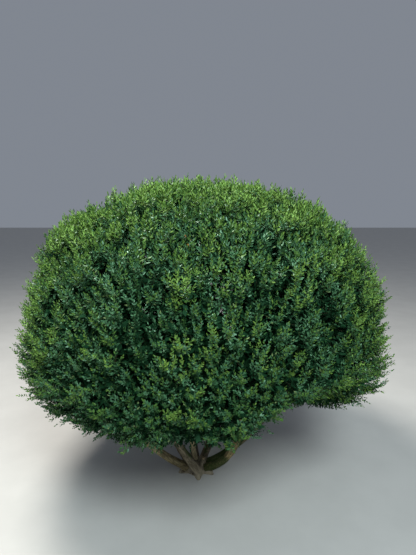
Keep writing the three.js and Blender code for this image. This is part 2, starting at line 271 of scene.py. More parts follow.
@dataclass
class Shape:
    """A mesh on its way: points, faces by their number of corners, their materials and the grain."""

    points: Array
    faces: list[Array]
    slots: list[Array] | None = None
    grain: Array | None = None

    def piece(self, name: str, materials: list[bpy.types.Material], slot: str) -> bpy.types.Object:
        """Makes the mesh and its object, which stays at the origin and rides on the plant's body.

        Args:
            name: The piece's name.
            materials: The materials, in the order that the face slots count them.
            slot: The record's material slot. It is not used.

        Returns:
            The finished object.
        """
        mesh = bpy.data.meshes.new(name)
        mesh.vertices.add(len(self.points))
        mesh.vertices.foreach_set("co", self.points.astype(np.float32).ravel())
        corners = np.concatenate([face.ravel() for face in self.faces]).astype(np.int32)
        sizes = np.concatenate([np.full(len(face), face.shape[1]) for face in self.faces])
        mesh.loops.add(len(corners))
        mesh.loops.foreach_set("vertex_index", corners)
        mesh.polygons.add(len(sizes))
        starts = np.concatenate([[0], np.cumsum(sizes)[:-1]]).astype(np.int32)
        mesh.polygons.foreach_set("loop_start", starts)
        if self.slots is not None:
            mesh.polygons.foreach_set("material_index", np.concatenate(self.slots).astype(np.int32))
        mesh.polygons.foreach_set("use_smooth", np.ones(len(sizes), bool))
        mesh.update(calc_edges=True)
        if self.grain is not None:
            attribute = mesh.attributes.new(GRAIN, "FLOAT_VECTOR", "POINT")
            attribute.data.foreach_set("vector", self.grain.astype(np.float32).ravel())
        for material in materials:
            mesh.materials.append(material)
        thing = bpy.data.objects.new(name, mesh)
        bpy.context.scene.collection.objects.link(thing)
        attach(thing, BODY)
        LOG.info("%s: %d triangles", name, int((sizes - 2).sum()))
        return thing


def ring_faces(rings: int, sides: int) -> Array:
    """The faces of four corners between rings of points that follow each other.

    Args:
        rings: How many rings there are.
        sides: How many points a ring has.

    Returns:
        The corner numbers, one face a row.
    """
    ring, side = np.meshgrid(np.arange(rings - 1), np.arange(sides), indexing="ij")
    first = ring * sides + side
    second = ring * sides + (side + 1) % sides
    return np.stack([first, second, second + sides, first + sides], axis=-1).reshape(-1, 4)


def closed_faces(rings: int, sides: int) -> tuple[Array, Array, Array]:
    """The faces of a closed tube whose last two points are the middles of its tip and its foot.

    Args:
        rings: How many rings of points the tube has.
        sides: How many points a ring has.

    Returns:
        The walls, the fan that closes the tip and the fan that closes the foot.
    """
    ring = np.arange(sides)
    beside = (ring + 1) % sides
    last = (rings - 1) * sides
    peak = np.full(sides, rings * sides)
    tip = np.stack([last + ring, last + beside, peak], axis=1)
    foot = np.stack([beside, ring, peak + 1], axis=1)
    return ring_faces(rings, sides), tip, foot


def repeated(faces: Array, copies: int, stride: int) -> Array:
    """The same faces for many copies of a shape whose points follow each other at a stride."""
    shifts = np.arange(copies)[:, None, None] * stride
    return (faces[None] + shifts).reshape(-1, faces.shape[1])


def tube_rings(centres: Array, radii: Array, sides: int) -> Array:
    """Rings of points round many lines at once.

    A ring's point is its centre, plus the radius times the cosine of its turn along one side vector,
    plus the radius times its sine along the other. The side vectors are square to the line, and are
    found from the axis that the whole line runs along least.

    Args:
        centres: The lines' points, as lines, rings and coordinates.
        radii: The radius for each line and ring, or for each line, ring and side.
        sides: How many points a ring has.

    Returns:
        The points, as lines, rings, sides and coordinates.
    """
    along = unit(np.gradient(centres, axis=1))
    whole = np.abs(centres[:, -1] - centres[:, 0])
    least = np.eye(3)[whole.argmin(axis=1)][:, None]
    one = unit(np.cross(along, least))
    other = np.cross(along, one)
    turn = 2 * np.pi * np.arange(sides) / sides
    round_it = np.cos(turn)[:, None] * one[:, :, None] + np.sin(turn)[:, None] * other[:, :, None]
    radii = radii if radii.ndim == 3 else radii[..., None]
    return centres[:, :, None] + radii[..., None] * round_it


def pointed_tubes(centres: Array, radii: Array, sides: int) -> Shape:
    """Many tapering twigs as one shape. The last point of a line is the twig's closed tip.

    Args:
        centres: The lines' points, as lines, rings and coordinates.
        radii: The radius for each line and ring but the last.
        sides: How many sides a twig has.

    Returns:
        The twigs, each with a closed foot and tip.
    """
    count, rings = len(centres), centres.shape[1] - 1
    body = tube_rings(centres, np.concatenate([radii, radii[:, -1:]], axis=1), sides)[:, :-1]
    points = np.concatenate([body.reshape(count, -1, 3), centres[:, -1:]], axis=1)
    stride = rings * sides + 1
    side = np.arange(sides)
    last = (rings - 1) * sides
    tips = np.stack([last + side, last + (side + 1) % sides, np.full(sides, stride - 1)], axis=1)
    faces = [repeated(tips, count, stride), repeated(side[None, ::-1], count, stride)]
    if rings > 1:
        faces.append(repeated(ring_faces(rings, sides), count, stride))
    return Shape(points.reshape(-1, 3), faces)


def joined(shapes: list[Shape]) -> Shape:
    """Several shapes as one, with the corner numbers of each moved past those before it.

    Args:
        shapes: The shapes, whose slots and grain are left out.

    Returns:
        One shape with all their points and faces.
    """
    faces, shift = [], 0
    for shape in shapes:
        faces += [face + shift for face in shape.faces]
        shift += len(shape.points)
    return Shape(np.concatenate([shape.points for shape in shapes]), faces)


@dataclass(frozen=True)
class Noise:
    """A fractal noise: its scale, its levels of detail and how rough they are."""

    scale: float
    detail: float
    rough: float


class Desk:
    """A short way to place nodes in a shader tree and to join them."""

    def __init__(self, tree: bpy.types.NodeTree) -> None:
        """Takes the tree that the nodes go into."""
        self.tree = tree

    def feed(self, node: bpy.types.Node, inputs: dict) -> None:
        """Joins or sets the inputs of a node.

        Args:
            node: The node.
            inputs: For each input by name or number, an output to join it to or a plain value.
        """
        for name, value in inputs.items():
            if isinstance(value, bpy.types.NodeSocket):
                self.tree.links.new(value, node.inputs[name])
            else:
                node.inputs[name].default_value = value

    def place(self, kind: str, inputs: dict | None = None, **settings: object) -> bpy.types.Node:
        """Adds a node.

        Args:
            kind: The node's type name.
            inputs: What to join or set its inputs to.
            settings: The node's own properties.

        Returns:
            The new node.
        """
        node = self.tree.nodes.new(kind)
        for name, value in settings.items():
            setattr(node, name, value)
        self.feed(node, inputs or {})
        return node

    def ramp(self, value: bpy.types.NodeSocket, low: float, high: float) -> bpy.types.NodeSocket:
        """A smooth 0 to 1 mask of a value between two limits."""
        inputs = {"Value": value, "From Min": low, "From Max": high}
        return self.place("ShaderNodeMapRange", inputs, interpolation_type="SMOOTHSTEP").outputs[0]

    def mix(self, mask: object, first: object, second: object) -> bpy.types.NodeSocket:
        """The first colour where the mask is 0, and the second where it is 1."""
        inputs = {0: mask, MIX_FIRST: first, MIX_SECOND: second}
        return self.place("ShaderNodeMix", inputs, data_type="RGBA").outputs[MIX_RESULT]

    def maths(self, operation: str, first: object, second: object) -> bpy.types.NodeSocket:
        """One step of arithmetic on two values."""
        return self.place("ShaderNodeMath", {0: first, 1: second}, operation=operation).outputs[0]

    def noise(self, vector: object, noise: Noise) -> bpy.types.NodeSocket:
        """The noise from 0 to 1 at a place."""
        inputs = {"Vector": vector, "Scale": noise.scale, "Detail": noise.detail, "Roughness": noise.rough}
        return self.place("ShaderNodeTexNoise", inputs).outputs["Fac"]


def rgba(colour: Colour) -> tuple[float, float, float, float]:
    """A colour with full opacity."""
    return (*colour, 1.0)


def new_material(name: str) -> tuple[bpy.types.Material, Desk, bpy.types.Node]:
    """A new material, the desk to place its nodes with and its shader.

    Args:
        name: The material's name.

    Returns:
        The material, its desk and its shader.
    """
    material = bpy.data.materials.new(name)
    material.use_nodes = True
    desk = Desk(material.node_tree)
    return material, desk, desk.tree.nodes["Principled BSDF"]


@dataclass(frozen=True)
class BarkPattern:
    """The pattern that all the bark shares: plates, fissures, worn feet and a film of moss.

    Heights are in metres above the ground. An edge pair is where a smooth mask starts and ends.
    """

    plates: Noise = Noise(38.0, 4.0, 0.6)
    cracks: Noise = Noise(95.0, 3.0, 0.65)
    patches: Noise = Noise(21.0, 3.0, 0.55)
    speckles: Noise = Noise(420.0, 2.0, 0.6)
    ridge_edges: tuple[float, float] = (0.38, 0.64)
    crack_width: float = 0.07
    crack_shade: float = 0.75
    crack_depth: float = 0.45
    worn_heights: tuple[float, float] = (0.03, 0.09)
    worn_edges: tuple[float, float] = (0.3, 0.55)
    foot_heights: tuple[float, float] = (0.11, 0.17)
    damp_side: tuple[float, float, float] = (-0.07, 0.0, 0.13)
    moss_edges: tuple[float, float] = (0.95, 1.12)
    speckle_edges: tuple[float, float] = (0.35, 0.6)
    thin_moss: float = 0.55
    roughness: float = 0.82
    moss_roughness: float = 0.12

    def group(self) -> bpy.types.NodeTree:
        """Makes the node group.

        Long plates come from noise on the grain attribute, which is drawn out along the limb. Dark
        fissures lie where a second noise crosses its middle. Close to the ground the plates are worn
        pale. Moss grows where the sum of a broad noise, of how far the surface turns to the damp side
        and of the bark's own cover passes a threshold.

        Returns:
            A node group that puts out a colour, a height and a roughness.
        """
        group = bpy.data.node_groups.new("Weathered bark", "ShaderNodeTree")
        face = group.interface
        face.new_socket("Grain", in_out="INPUT", socket_type="NodeSocketVector")
        for name in ("Plate", "Ridge", "Fissure", "Moss", "Worn"):
            face.new_socket(name, in_out="INPUT", socket_type="NodeSocketColor")
        for name in ("Fineness", "Moss cover", "Foot moss", "Wear"):
            face.new_socket(name, in_out="INPUT", socket_type="NodeSocketFloat")
        face.new_socket("Color", in_out="OUTPUT", socket_type="NodeSocketColor")
        face.new_socket("Height", in_out="OUTPUT", socket_type="NodeSocketFloat")
        face.new_socket("Roughness", in_out="OUTPUT", socket_type="NodeSocketFloat")
        desk = Desk(group)
        given = desk.place("NodeGroupInput").outputs
        scaled = {0: given["Grain"], "Scale": given["Fineness"]}
        fine = desk.place("ShaderNodeVectorMath", scaled, operation="SCALE").outputs[0]
        plates = desk.noise(fine, self.plates)
        off_middle = desk.maths("SUBTRACT", desk.noise(fine, self.cracks), 0.5)
        off_middle = desk.maths("ABSOLUTE", off_middle, 0.0)
        fissure = desk.maths("SUBTRACT", 1.0, desk.ramp(off_middle, 0.0, self.crack_width))
        body = desk.mix(desk.ramp(plates, *self.ridge_edges), given["Plate"], given["Ridge"])
        cracked = desk.mix(desk.maths("MULTIPLY", fissure, self.crack_shade), body, given["Fissure"])
        place = desk.place("ShaderNodeTexCoord").outputs["Object"]
        height = desk.place("ShaderNodeSeparateXYZ", {0: place}).outputs["Z"]
        low = desk.maths("SUBTRACT", 1.0, desk.ramp(height, *self.worn_heights))
        foot = desk.maths("SUBTRACT", 1.0, desk.ramp(height, *self.foot_heights))
        rubbed = desk.maths("MULTIPLY", low, given["Wear"])
        wear = desk.maths("MULTIPLY", rubbed, desk.ramp(plates, *self.worn_edges))
        bare = desk.mix(wear, cracked, given["Worn"])
        turned = {0: desk.place("ShaderNodeNewGeometry").outputs["Normal"], 1: self.damp_side}
        side = desk.place("ShaderNodeVectorMath", turned, operation="DOT_PRODUCT").outputs["Value"]
        patches = desk.noise(given["Grain"], self.patches)
        damp = desk.maths("SUBTRACT", desk.maths("ADD", patches, side), wear)
        cover = desk.maths("ADD", given["Moss cover"], desk.maths("MULTIPLY", foot, given["Foot moss"]))
        moss = desk.ramp(desk.maths("ADD", damp, cover), *self.moss_edges)
        speckle = desk.ramp(desk.noise(given["Grain"], self.speckles), *self.speckle_edges)
        fuller = desk.maths("MULTIPLY", speckle, 1.0 - self.thin_moss)
        thick = desk.maths("MULTIPLY", moss, desk.maths("ADD", fuller, self.thin_moss))
        relief = desk.maths("SUBTRACT", plates, desk.maths("MULTIPLY", fissure, self.crack_depth))
        duller = desk.maths("MULTIPLY", moss, self.moss_roughness)
        outputs = {
            "Color": desk.mix(thick, bare, given["Moss"]),
            "Height": desk.maths("ADD", relief, desk.maths("MULTIPLY", moss, speckle)),
            "Roughness": desk.maths("ADD", duller, self.roughness),
        }
        desk.place("NodeGroupOutput", outputs)
        return group


@dataclass(frozen=True)
class BarkFinish:
    """A bark: the colours of its plates, ridges and fissures, the moss on it and the wear at its foot."""

    name: str
    plate: Colour
    ridge: Colour
    fissure: Colour
    moss: Colour
    moss_cover: float
    fineness: float
    relief: float
    worn: Colour = (0.36, 0.31, 0.22)
    wear: float = 0.0
    foot_moss: float = 0.0
    gloss: float = 0.25

    def material(self, pattern: bpy.types.NodeTree) -> bpy.types.Material:
        """Makes the material.

        Args:
            pattern: The node group that all the bark shares.

        Returns:
            A matt material with the pattern's colour, roughness and bump.
        """
        material, desk, shader = new_material(self.name)
        bark = desk.place("ShaderNodeGroup", node_tree=pattern)
        place = desk.place("ShaderNodeAttribute", attribute_name=GRAIN).outputs["Vector"]
        inputs = {
            "Grain": place,
            "Plate": rgba(self.plate),
            "Ridge": rgba(self.ridge),
            "Fissure": rgba(self.fissure),
            "Moss": rgba(self.moss),
            "Worn": rgba(self.worn),
            "Fineness": self.fineness,
            "Moss cover": self.moss_cover,
            "Foot moss": self.foot_moss,
            "Wear": self.wear,
        }
        desk.feed(bark, inputs)
        bump = desk.place("ShaderNodeBump", {"Height": bark.outputs["Height"], "Distance": self.relief})
        looks = {
            "Base Color": bark.outputs["Color"],
            "Roughness": bark.outputs["Roughness"],
            "Normal": bump.outputs["Normal"],
            "Specular IOR Level": self.gloss,
        }
        desk.feed(shader, looks)
        return material


TAN_BARK = BarkFinish(
    name="Tan bark",
    plate=(0.23, 0.185, 0.092),
    ridge=(0.45, 0.38, 0.205),
    fissure=(0.055, 0.043, 0.026),
    moss=(0.085, 0.115, 0.030),
    moss_cover=0.40,
    fineness=1.2,
    relief=0.0016,
)
HALF_MOSSY_BARK = BarkFinish(
    name="Half mossy bark",
    plate=(0.22, 0.165, 0.072),
    ridge=(0.42, 0.335, 0.160),
    fissure=(0.050, 0.038, 0.022),
    moss=(0.034, 0.062, 0.013),
    moss_cover=0.38,
    fineness=1.2,
    relief=0.0018,
    foot_moss=0.42,
)
# The leader's bark is paler than the other stems', partly its own young bark and partly painted light
# where the crown's shade falls on it.
PALE_LIT_BARK = BarkFinish(
    name="Pale bark",
    plate=(0.400, 0.330, 0.180),
    ridge=(0.640, 0.550, 0.330),
    fissure=(0.120, 0.090, 0.050),
    moss=(0.100, 0.125, 0.040),
    moss_cover=0.30,
    fineness=1.4,
    relief=0.0010,
)
MOSSY_BARK = BarkFinish(
    name="Mossy bark",
    plate=(0.085, 0.070, 0.040),
    ridge=(0.19, 0.165, 0.095),
    fissure=(0.028, 0.022, 0.014),
    moss=(0.034, 0.066, 0.012),
    moss_cover=0.56,
    fineness=1.0,
    relief=0.0022,
)
OLD_BARK = BarkFinish(
    name="Old bark",
    plate=(0.115, 0.092, 0.058),
    ridge=(0.30, 0.255, 0.17),
    fissure=(0.035, 0.027, 0.018),
    moss=(0.052, 0.085, 0.018),
    moss_cover=0.53,
    fineness=1.0,
    relief=0.0022,
    wear=0.8,
    foot_moss=-0.10,
)
BRANCH_BARK = BarkFinish(
    name="Branch bark",
    plate=(0.075, 0.056, 0.035),
    ridge=(0.15, 0.12, 0.075),
    fissure=(0.03, 0.022, 0.014),
    moss=(0.045, 0.07, 0.018),
    moss_cover=0.38,
    fineness=1.8,
    relief=0.001,
)
TWIG_BARK = BarkFinish(
    name="Twig bark",
    plate=(0.055, 0.052, 0.028),
    ridge=(0.095, 0.090, 0.045),
    fissure=(0.03, 0.026, 0.016),
    moss=(0.035, 0.065, 0.018),
    moss_cover=0.38,
    fineness=3.0,
    relief=0.0004,
)
SHOOT_BARK = BarkFinish(
    name="Green shoot bark",
    plate=(0.040, 0.075, 0.022),
    ridge=(0.075, 0.110, 0.034),
    fissure=(0.030, 0.050, 0.018),
    moss=(0.035, 0.075, 0.020),
    moss_cover=0.3,
    fineness=3.0,
    relief=0.0002,
)
BARKS = (
    OLD_BARK,
    TAN_BARK,
    HALF_MOSSY_BARK,
    PALE_LIT_BARK,
    MOSSY_BARK,
    BRANCH_BARK,
    TWIG_BARK,
    SHOOT_BARK,
)


@dataclass(frozen=True)
class CutWood:
    """The sawn end of an old stub: pale yellow wood with close rings and a grey stain."""

    early: Colour = (0.40, 0.31, 0.17)
    late: Colour = (0.27, 0.19, 0.095)
    stain: Colour = (0.13, 0.105, 0.075)
    rings_scale: float = 260.0
    rings_bend: float = 2.5
    rings_detail: float = 2.0
    stains: Noise = Noise(160.0, 3.0, 0.6)
    stain_edges: tuple[float, float] = (0.45, 0.7)
    dull_edges: tuple[float, float] = (-1.5, 1.3)

    def material(self) -> bpy.types.Material:
        """Makes the material from rings round the stub and a grey stain in patches.

        Returns:
            A matt material whose late wood is the duller.
        """
        material, desk, shader = new_material("Cut wood")
        place = desk.place("ShaderNodeAttribute", attribute_name=GRAIN).outputs["Vector"]
        wave = {
            "Vector": place,
            "Scale": self.rings_scale,
            "Distortion": self.rings_bend,
            "Detail": self.rings_detail,
        }
        turns = {"wave_type": "RINGS", "rings_direction": "Z"}
        rings = desk.place("ShaderNodeTexWave", wave, **turns).outputs["Fac"]
        wood = desk.mix(rings, rgba(self.early), rgba(self.late))
        stained = desk.ramp(desk.noise(place, self.stains), *self.stain_edges)
        colour = desk.mix(stained, wood, rgba(self.stain))
        desk.feed(shader, {"Base Color": colour, "Roughness": desk.ramp(rings, *self.dull_edges)})
        return material


class Tint(Enum):
    """The tints that leaves are dealt, from painted shade inside the crown to its youngest tips, with a
    painted sheen.
    """

    SHADED = 0
    DEEP = 1
    PAINTED_SHEEN = 2
    MIDDLE = 3
    FRESH = 4
    YOUNG = 5
    PALE = 6
    RUSTY = 7


@dataclass(frozen=True)
class LeafFinish:
    """A leaf's plain base colour and gloss. Leaves are dealt one finish each, spray by spray."""

    colour: Colour
    roughness: float
    gloss: float
    gloss_tint: Colour = (0.66, 1.0, 0.80)

    def material(self, tint: Tint) -> bpy.types.Material:
        """Makes the material for one tint.

        Args:
            tint: The tint, which names the material.

        Returns:
            A material of one plain colour.
        """
        material, desk, shader = new_material(f"Leaf {tint.name.lower()}")
        looks = {
            "Base Color": rgba(self.colour),
            "Roughness": self.roughness,
            "Specular IOR Level": self.gloss,
            "Specular Tint": rgba(self.gloss_tint),
        }
        desk.feed(shader, looks)
        return material


LEAF_FINISHES = {
    # Painted shade: near-black green for leaves deep in the crown, below the tips and underneath.
    Tint.SHADED: LeafFinish((0.009, 0.040, 0.016), roughness=0.6, gloss=0.08),
    Tint.DEEP: LeafFinish((0.032, 0.092, 0.028), roughness=0.33, gloss=0.30),
    # Painted sheen: a bluer green standing in for the sky's reflection on front leaves.
    Tint.PAINTED_SHEEN: LeafFinish((0.056, 0.150, 0.070), roughness=0.36, gloss=0.42),
    Tint.MIDDLE: LeafFinish((0.073, 0.160, 0.034), roughness=0.38, gloss=0.24),
    Tint.FRESH: LeafFinish((0.126, 0.230, 0.043), roughness=0.44, gloss=0.18),
    Tint.YOUNG: LeafFinish((0.195, 0.350, 0.078), roughness=0.5, gloss=0.14),
    Tint.PALE: LeafFinish((0.150, 0.220, 0.085), roughness=0.6, gloss=0.15),
    Tint.RUSTY: LeafFinish((0.480, 0.210, 0.055), roughness=0.6, gloss=0.2),
}


@dataclass(frozen=True)
class Patch:
    """A rounded patch of the crown, by its direction and width in degrees and its height or weight."""

    azimuth: float
    elevation: float
    width: float
    height: float

    def at(self, azimuth: Array, elevation: Array) -> Array:
        """The patch's height times a bell curve of the distance from its middle.

        Args:
            azimuth: Azimuths in radians.
            elevation: Elevations in radians.

        Returns:
            The patch's height or weight in each direction.
        """
        across = wrapped(azimuth - np.radians(self.azimuth)) * np.cos(np.radians(self.elevation))
        along = elevation - np.radians(self.elevation)
        return self.height * np.exp(-(across**2 + along**2) / np.radians(self.width) ** 2)


def total(patches: tuple[Patch, ...], azimuth: Array, elevation: Array) -> Array:
    """The sum of several patches in each direction."""
    return sum(patch.at(azimuth, elevation) for patch in patches)


@dataclass(frozen=True)
class Crown:
    """The clipped outline of the crown, measured from its middle.

    In section it is a superellipse, flatter below than above. The underside is lifted in a notch
    where a front stem was once cut out, and broad swellings and hollows are added.
    """

    middle: tuple[float, float, float] = (0.030, 0.060, 0.860)
    radius: float = 0.970
    rise: float = 0.800
    drop: float = 0.460
    top_squareness: float = 2.2
    underside_squareness: float = 2.5
    notch_lift: float = 0.285
    notch_azimuth: float = -56.5
    notch_width: float = 21.0
    swells: tuple[Patch, ...] = (
        Patch(180, 40, 17, 0.026),
        Patch(0, 45, 15, 0.030),
        Patch(-22, 6, 13, 0.036),
        Patch(-31, -19, 10, 0.036),
        Patch(200, -32, 20, 0.020),
        Patch(205, 5, 8, -0.014),
        Patch(243, -20, 11, -0.016),
        Patch(286, -16, 9, 0.050),
        Patch(268, 33, 9, -0.030),
        Patch(110, 30, 18, 0.022),
    )
    masses: tuple[str, ...] = (
        "right",
        "back_right",
        "back",
        "back_left",
        "front_left",
        "front",
        "front_right",
        "top",
    )
    dome_edge: float = np.radians(36)
    skirt_edge: float = np.radians(-50)
    hem_edge: float = np.radians(-63)
    slope_step: float = 0.01
    zenith_gap: float = 1e-3

    @property
    def sides(self) -> int:
        """How many masses stand round the side of the crown. The dome comes after them."""
        return len(self.masses) - 1

    @property
    def side_span(self) -> float:
        """The angle that each side mass takes up."""
        return 2 * np.pi / self.sides

    def reach(self, azimuth: Array, elevation: Array) -> Array:
        """How far the outline lies from the crown's middle.

        Args:
            azimuth: Azimuths in radians.
            elevation: Elevations in radians.

        Returns:
            The distance in each direction, in metres: the superellipse's radius, with the notch taken
            off its drop, plus the swells.
        """
        off = wrapped(azimuth - np.radians(self.notch_azimuth)) / np.radians(self.notch_width)
        above = elevation > 0
        height = np.where(above, self.rise, self.drop - self.notch_lift * np.exp(-(off**2)))
        power = np.where(above, self.top_squareness, self.underside_squareness)
        level = (np.abs(np.cos(elevation)) / self.radius) ** power
        upright = (np.abs(np.sin(elevation)) / height) ** power
        return (level + upright) ** (-1 / power) + total(self.swells, azimuth, elevation)

    def point(self, azimuth: Array, elevation: Array, share: Array | float) -> Array:
        """The point at a share of the crown's reach in each direction."""
        distance = np.asarray(share * self.reach(azimuth, elevation))
        return direction(azimuth, elevation) * distance[..., None] + np.array(self.middle)

    def held(self, points: Array, share: float) -> Array:
        """Brings the points beyond a share of the reach straight back to it.

        Args:
            points: Places in metres, one a row.
            share: The share of the crown's reach that they may have.

        Returns:
            The points inside that share.
        """
        off = points - self.middle
        azimuth = np.arctan2(off[:, 1], off[:, 0])
        elevation = np.arctan2(off[:, 2], np.hypot(off[:, 0], off[:, 1]))
        kept = share * self.reach(azimuth, elevation) / np.linalg.norm(off, axis=1)
        return off * np.minimum(kept, 1)[:, None] + self.middle

    def outwards(self, azimuth: Array, elevation: Array) -> Array:
        """The outline's unit normals, from the cross product of its two slopes.

        Args:
            azimuth: Azimuths in radians.
            elevation: Elevations in radians.

        Returns:
            One unit vector for each direction.
        """
        step = self.slope_step
        east = self.point(azimuth + step, elevation, 1) - self.point(azimuth - step, elevation, 1)
        north = self.point(azimuth, elevation + step, 1) - self.point(azimuth, elevation - step, 1)
        return unit(np.cross(east, north))

    def targets(self, count: int, edge: float, jitter: float, salt: int) -> tuple[Array, Array]:
        """Places on the outline that limbs grow to, spread evenly by the golden angle.

        Args:
            count: How many places to spread.
            edge: The lowest elevation that they reach, in radians.
            jitter: How far each is moved off its even place, as a share of their spacing.
            salt: Which of many repeatable moves to take.

        Returns:
            The azimuths and elevations in radians.
        """
        index = np.arange(count)
        low = np.sin(edge)
        height = low + (1 - low) * (index + 0.5) / count
        spacing = np.sqrt(2 * np.pi * (1 - low) / count)
        elevation = np.arcsin(height) + jitter * spacing * spread(index, salt)
        elevation = np.minimum(elevation, np.pi / 2 - self.zenith_gap)
        shift = jitter * spacing * spread(index, salt + 1) / np.maximum(np.cos(elevation), spacing)
        return wrapped(index * GOLDEN_ANGLE + shift), elevation

    def mass_of(self, azimuth: Array, elevation: Array) -> Array:
        """The number of the mass in each direction: a wedge of the side, or the dome above its edge."""
        wedge = np.round(azimuth / self.side_span).astype(int) % self.sides
        return np.where(elevation > self.dome_edge, self.sides, wedge)


@dataclass(frozen=True)
class Stem:
    """One bare stem: how it stands, leans and arrives below its mass in degrees, and its butt's radius."""

    foot: float
    leans: float
    lean: float
    butt: float
    turned: float
    enters: float
    arrives: float


@dataclass(frozen=True)
class Stub:
    """A straight stub left by an old cut: its place on the root crown, its lean and its size."""

    azimuth: float
    distance: float
    lean: float
    length: float
    radius: float


@dataclass
class RootCrown:
    """The low root crown at ground level, with a flare under each stem and the stubs of old cuts."""

    radius: float = 0.098
    height: float = 0.060
    flare: float = 0.16
    valley: float = 0.30
    flare_width: float = np.radians(13)
    flare_height: float = 0.030
    knobs: float = 0.0035
    knob_size: float = 0.026
    wrinkles: float = 0.0012
    wrinkle_size: float = 0.0075
    wrinkle_draw: float = 0.5
    relief_start: float = 0.2
    sides: int = 144
    rings: int = 46
    stub_foot: float = 0.026
    stub_knobs: float = 0.12
    stub_knob_size: float = 0.018
    stub_sides: int = 28
    stub_rings: int = 24
    stubs: tuple[Stub, ...] = (
        Stub(azimuth=-58, distance=0.036, lean=24, length=0.084, radius=0.011),
        Stub(azimuth=32, distance=0.040, lean=28, length=0.070, radius=0.009),
    )

    def mound(self, feet: Array) -> Shape:
        """The mound that the stems grow out of.

        In section it is a quarter of an ellipse, from its flat cut on the ground to its top. Between the
        stems it falls back into valleys, and under each stem the radius grows by a bell curve of the
        turn that fades with the height. Knobs and wrinkles are noise along the outward direction.

        Args:
            feet: The stems' azimuths in radians.

        Returns:
            The closed mound.
        """
        climb = np.linspace(0, np.pi / 2, self.rings + 1)[:-1, None]
        turn = 2 * np.pi * np.arange(self.sides)[None] / self.sides
        rise = self.height * np.sin(climb)
        bells = np.exp(-((wrapped(turn[..., None] - feet) / self.flare_width) ** 2)).max(axis=-1)
        flare = self.flare * np.exp(-rise / self.flare_height) * bells
        radius = self.radius * np.cos(climb) * (1 + flare) * (1 - self.valley * (1 - bells))
        level = (radius * np.cos(turn), radius * np.sin(turn))
        points = np.stack(np.broadcast_arrays(*level, rise), axis=-1)
        out = unit(points * (1, 1, (self.radius / self.height) ** 2))
        knobs = self.knobs * grain(points, self.knob_size, Salt.KNOBS)
        drawn = points * (1, 1, self.wrinkle_draw)
        wrinkles = self.wrinkles * grain(drawn, self.wrinkle_size, Salt.WRINKLES)
        relief = (knobs + wrinkles) * ease(0, self.relief_start, climb)
        points = points + out * relief[..., None]
        points[..., 2] = np.maximum(points[..., 2], 0)
        middles = np.array([(0, 0, self.height), (0, 0, 0)])
        faces = closed_faces(self.rings, self.sides)
        return Shape(np.concatenate([points.reshape(-1, 3), middles]), list(faces))

    def stub(self, stub: Stub, salt: int) -> Shape:
        """One stub: a knobbly cylinder whose sawn end is flat and has the cut wood's slot.

        Args:
            stub: Where the stub stands and how long and thick it is.
            salt: Which relief to give it.

        Returns:
            The closed stub, with its own grain across the sawn end.
        """
        azimuth = np.radians(stub.azimuth)
        foot = direction(azimuth, 0) * stub.distance + (0, 0, self.stub_foot)
        way = direction(azimuth, np.pi / 2 - np.radians(stub.lean))
        share = np.linspace(0, 1, self.stub_rings)
        centres = foot + way * stub.length * share[:, None]
        rings = tube_rings(centres[None], np.full((1, self.stub_rings), stub.radius), self.stub_sides)[0]
        out = unit(rings - centres[:, None])
        relief = self.stub_knobs * stub.radius * grain(rings, self.stub_knob_size, salt)
        rings = rings + out * relief[..., None]
        points = np.concatenate([rings.reshape(-1, 3), centres[-1:], centres[:1]])
        walls, cut, base = closed_faces(self.stub_rings, self.stub_sides)
        bark = [np.zeros(len(walls), int), np.zeros(len(base), int)]
        shape = Shape(points, [walls, base, cut], [*bark, np.ones(len(cut), int)])
        one = unit(np.cross(way, SKY))
        axes = np.stack([one, np.cross(way, one), way], axis=1)
        shape.grain = (points - centres[-1]) @ axes
        return shape

    def build(self, feet: Array, bark: bpy.types.Material, wood: bpy.types.Material) -> None:
        """Makes the mound and its stubs, which together replace the root crown's node.

        Args:
            feet: The stems' azimuths in radians.
            bark: The bark of all of it.
            wood: The wood at the stubs' sawn ends.
        """
        mound = self.mound(feet)
        mound.grain = mound.points
        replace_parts(mound.piece("root_crown_bark", [bark], BARK_SLOT), "root_crown")
        for number, stub in enumerate(self.stubs, start=1):
            shape = self.stub(stub, Salt.STUBS + number)
            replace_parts(shape.piece(f"cut_stub_{number}", [bark, wood], BARK_SLOT), "root_crown")


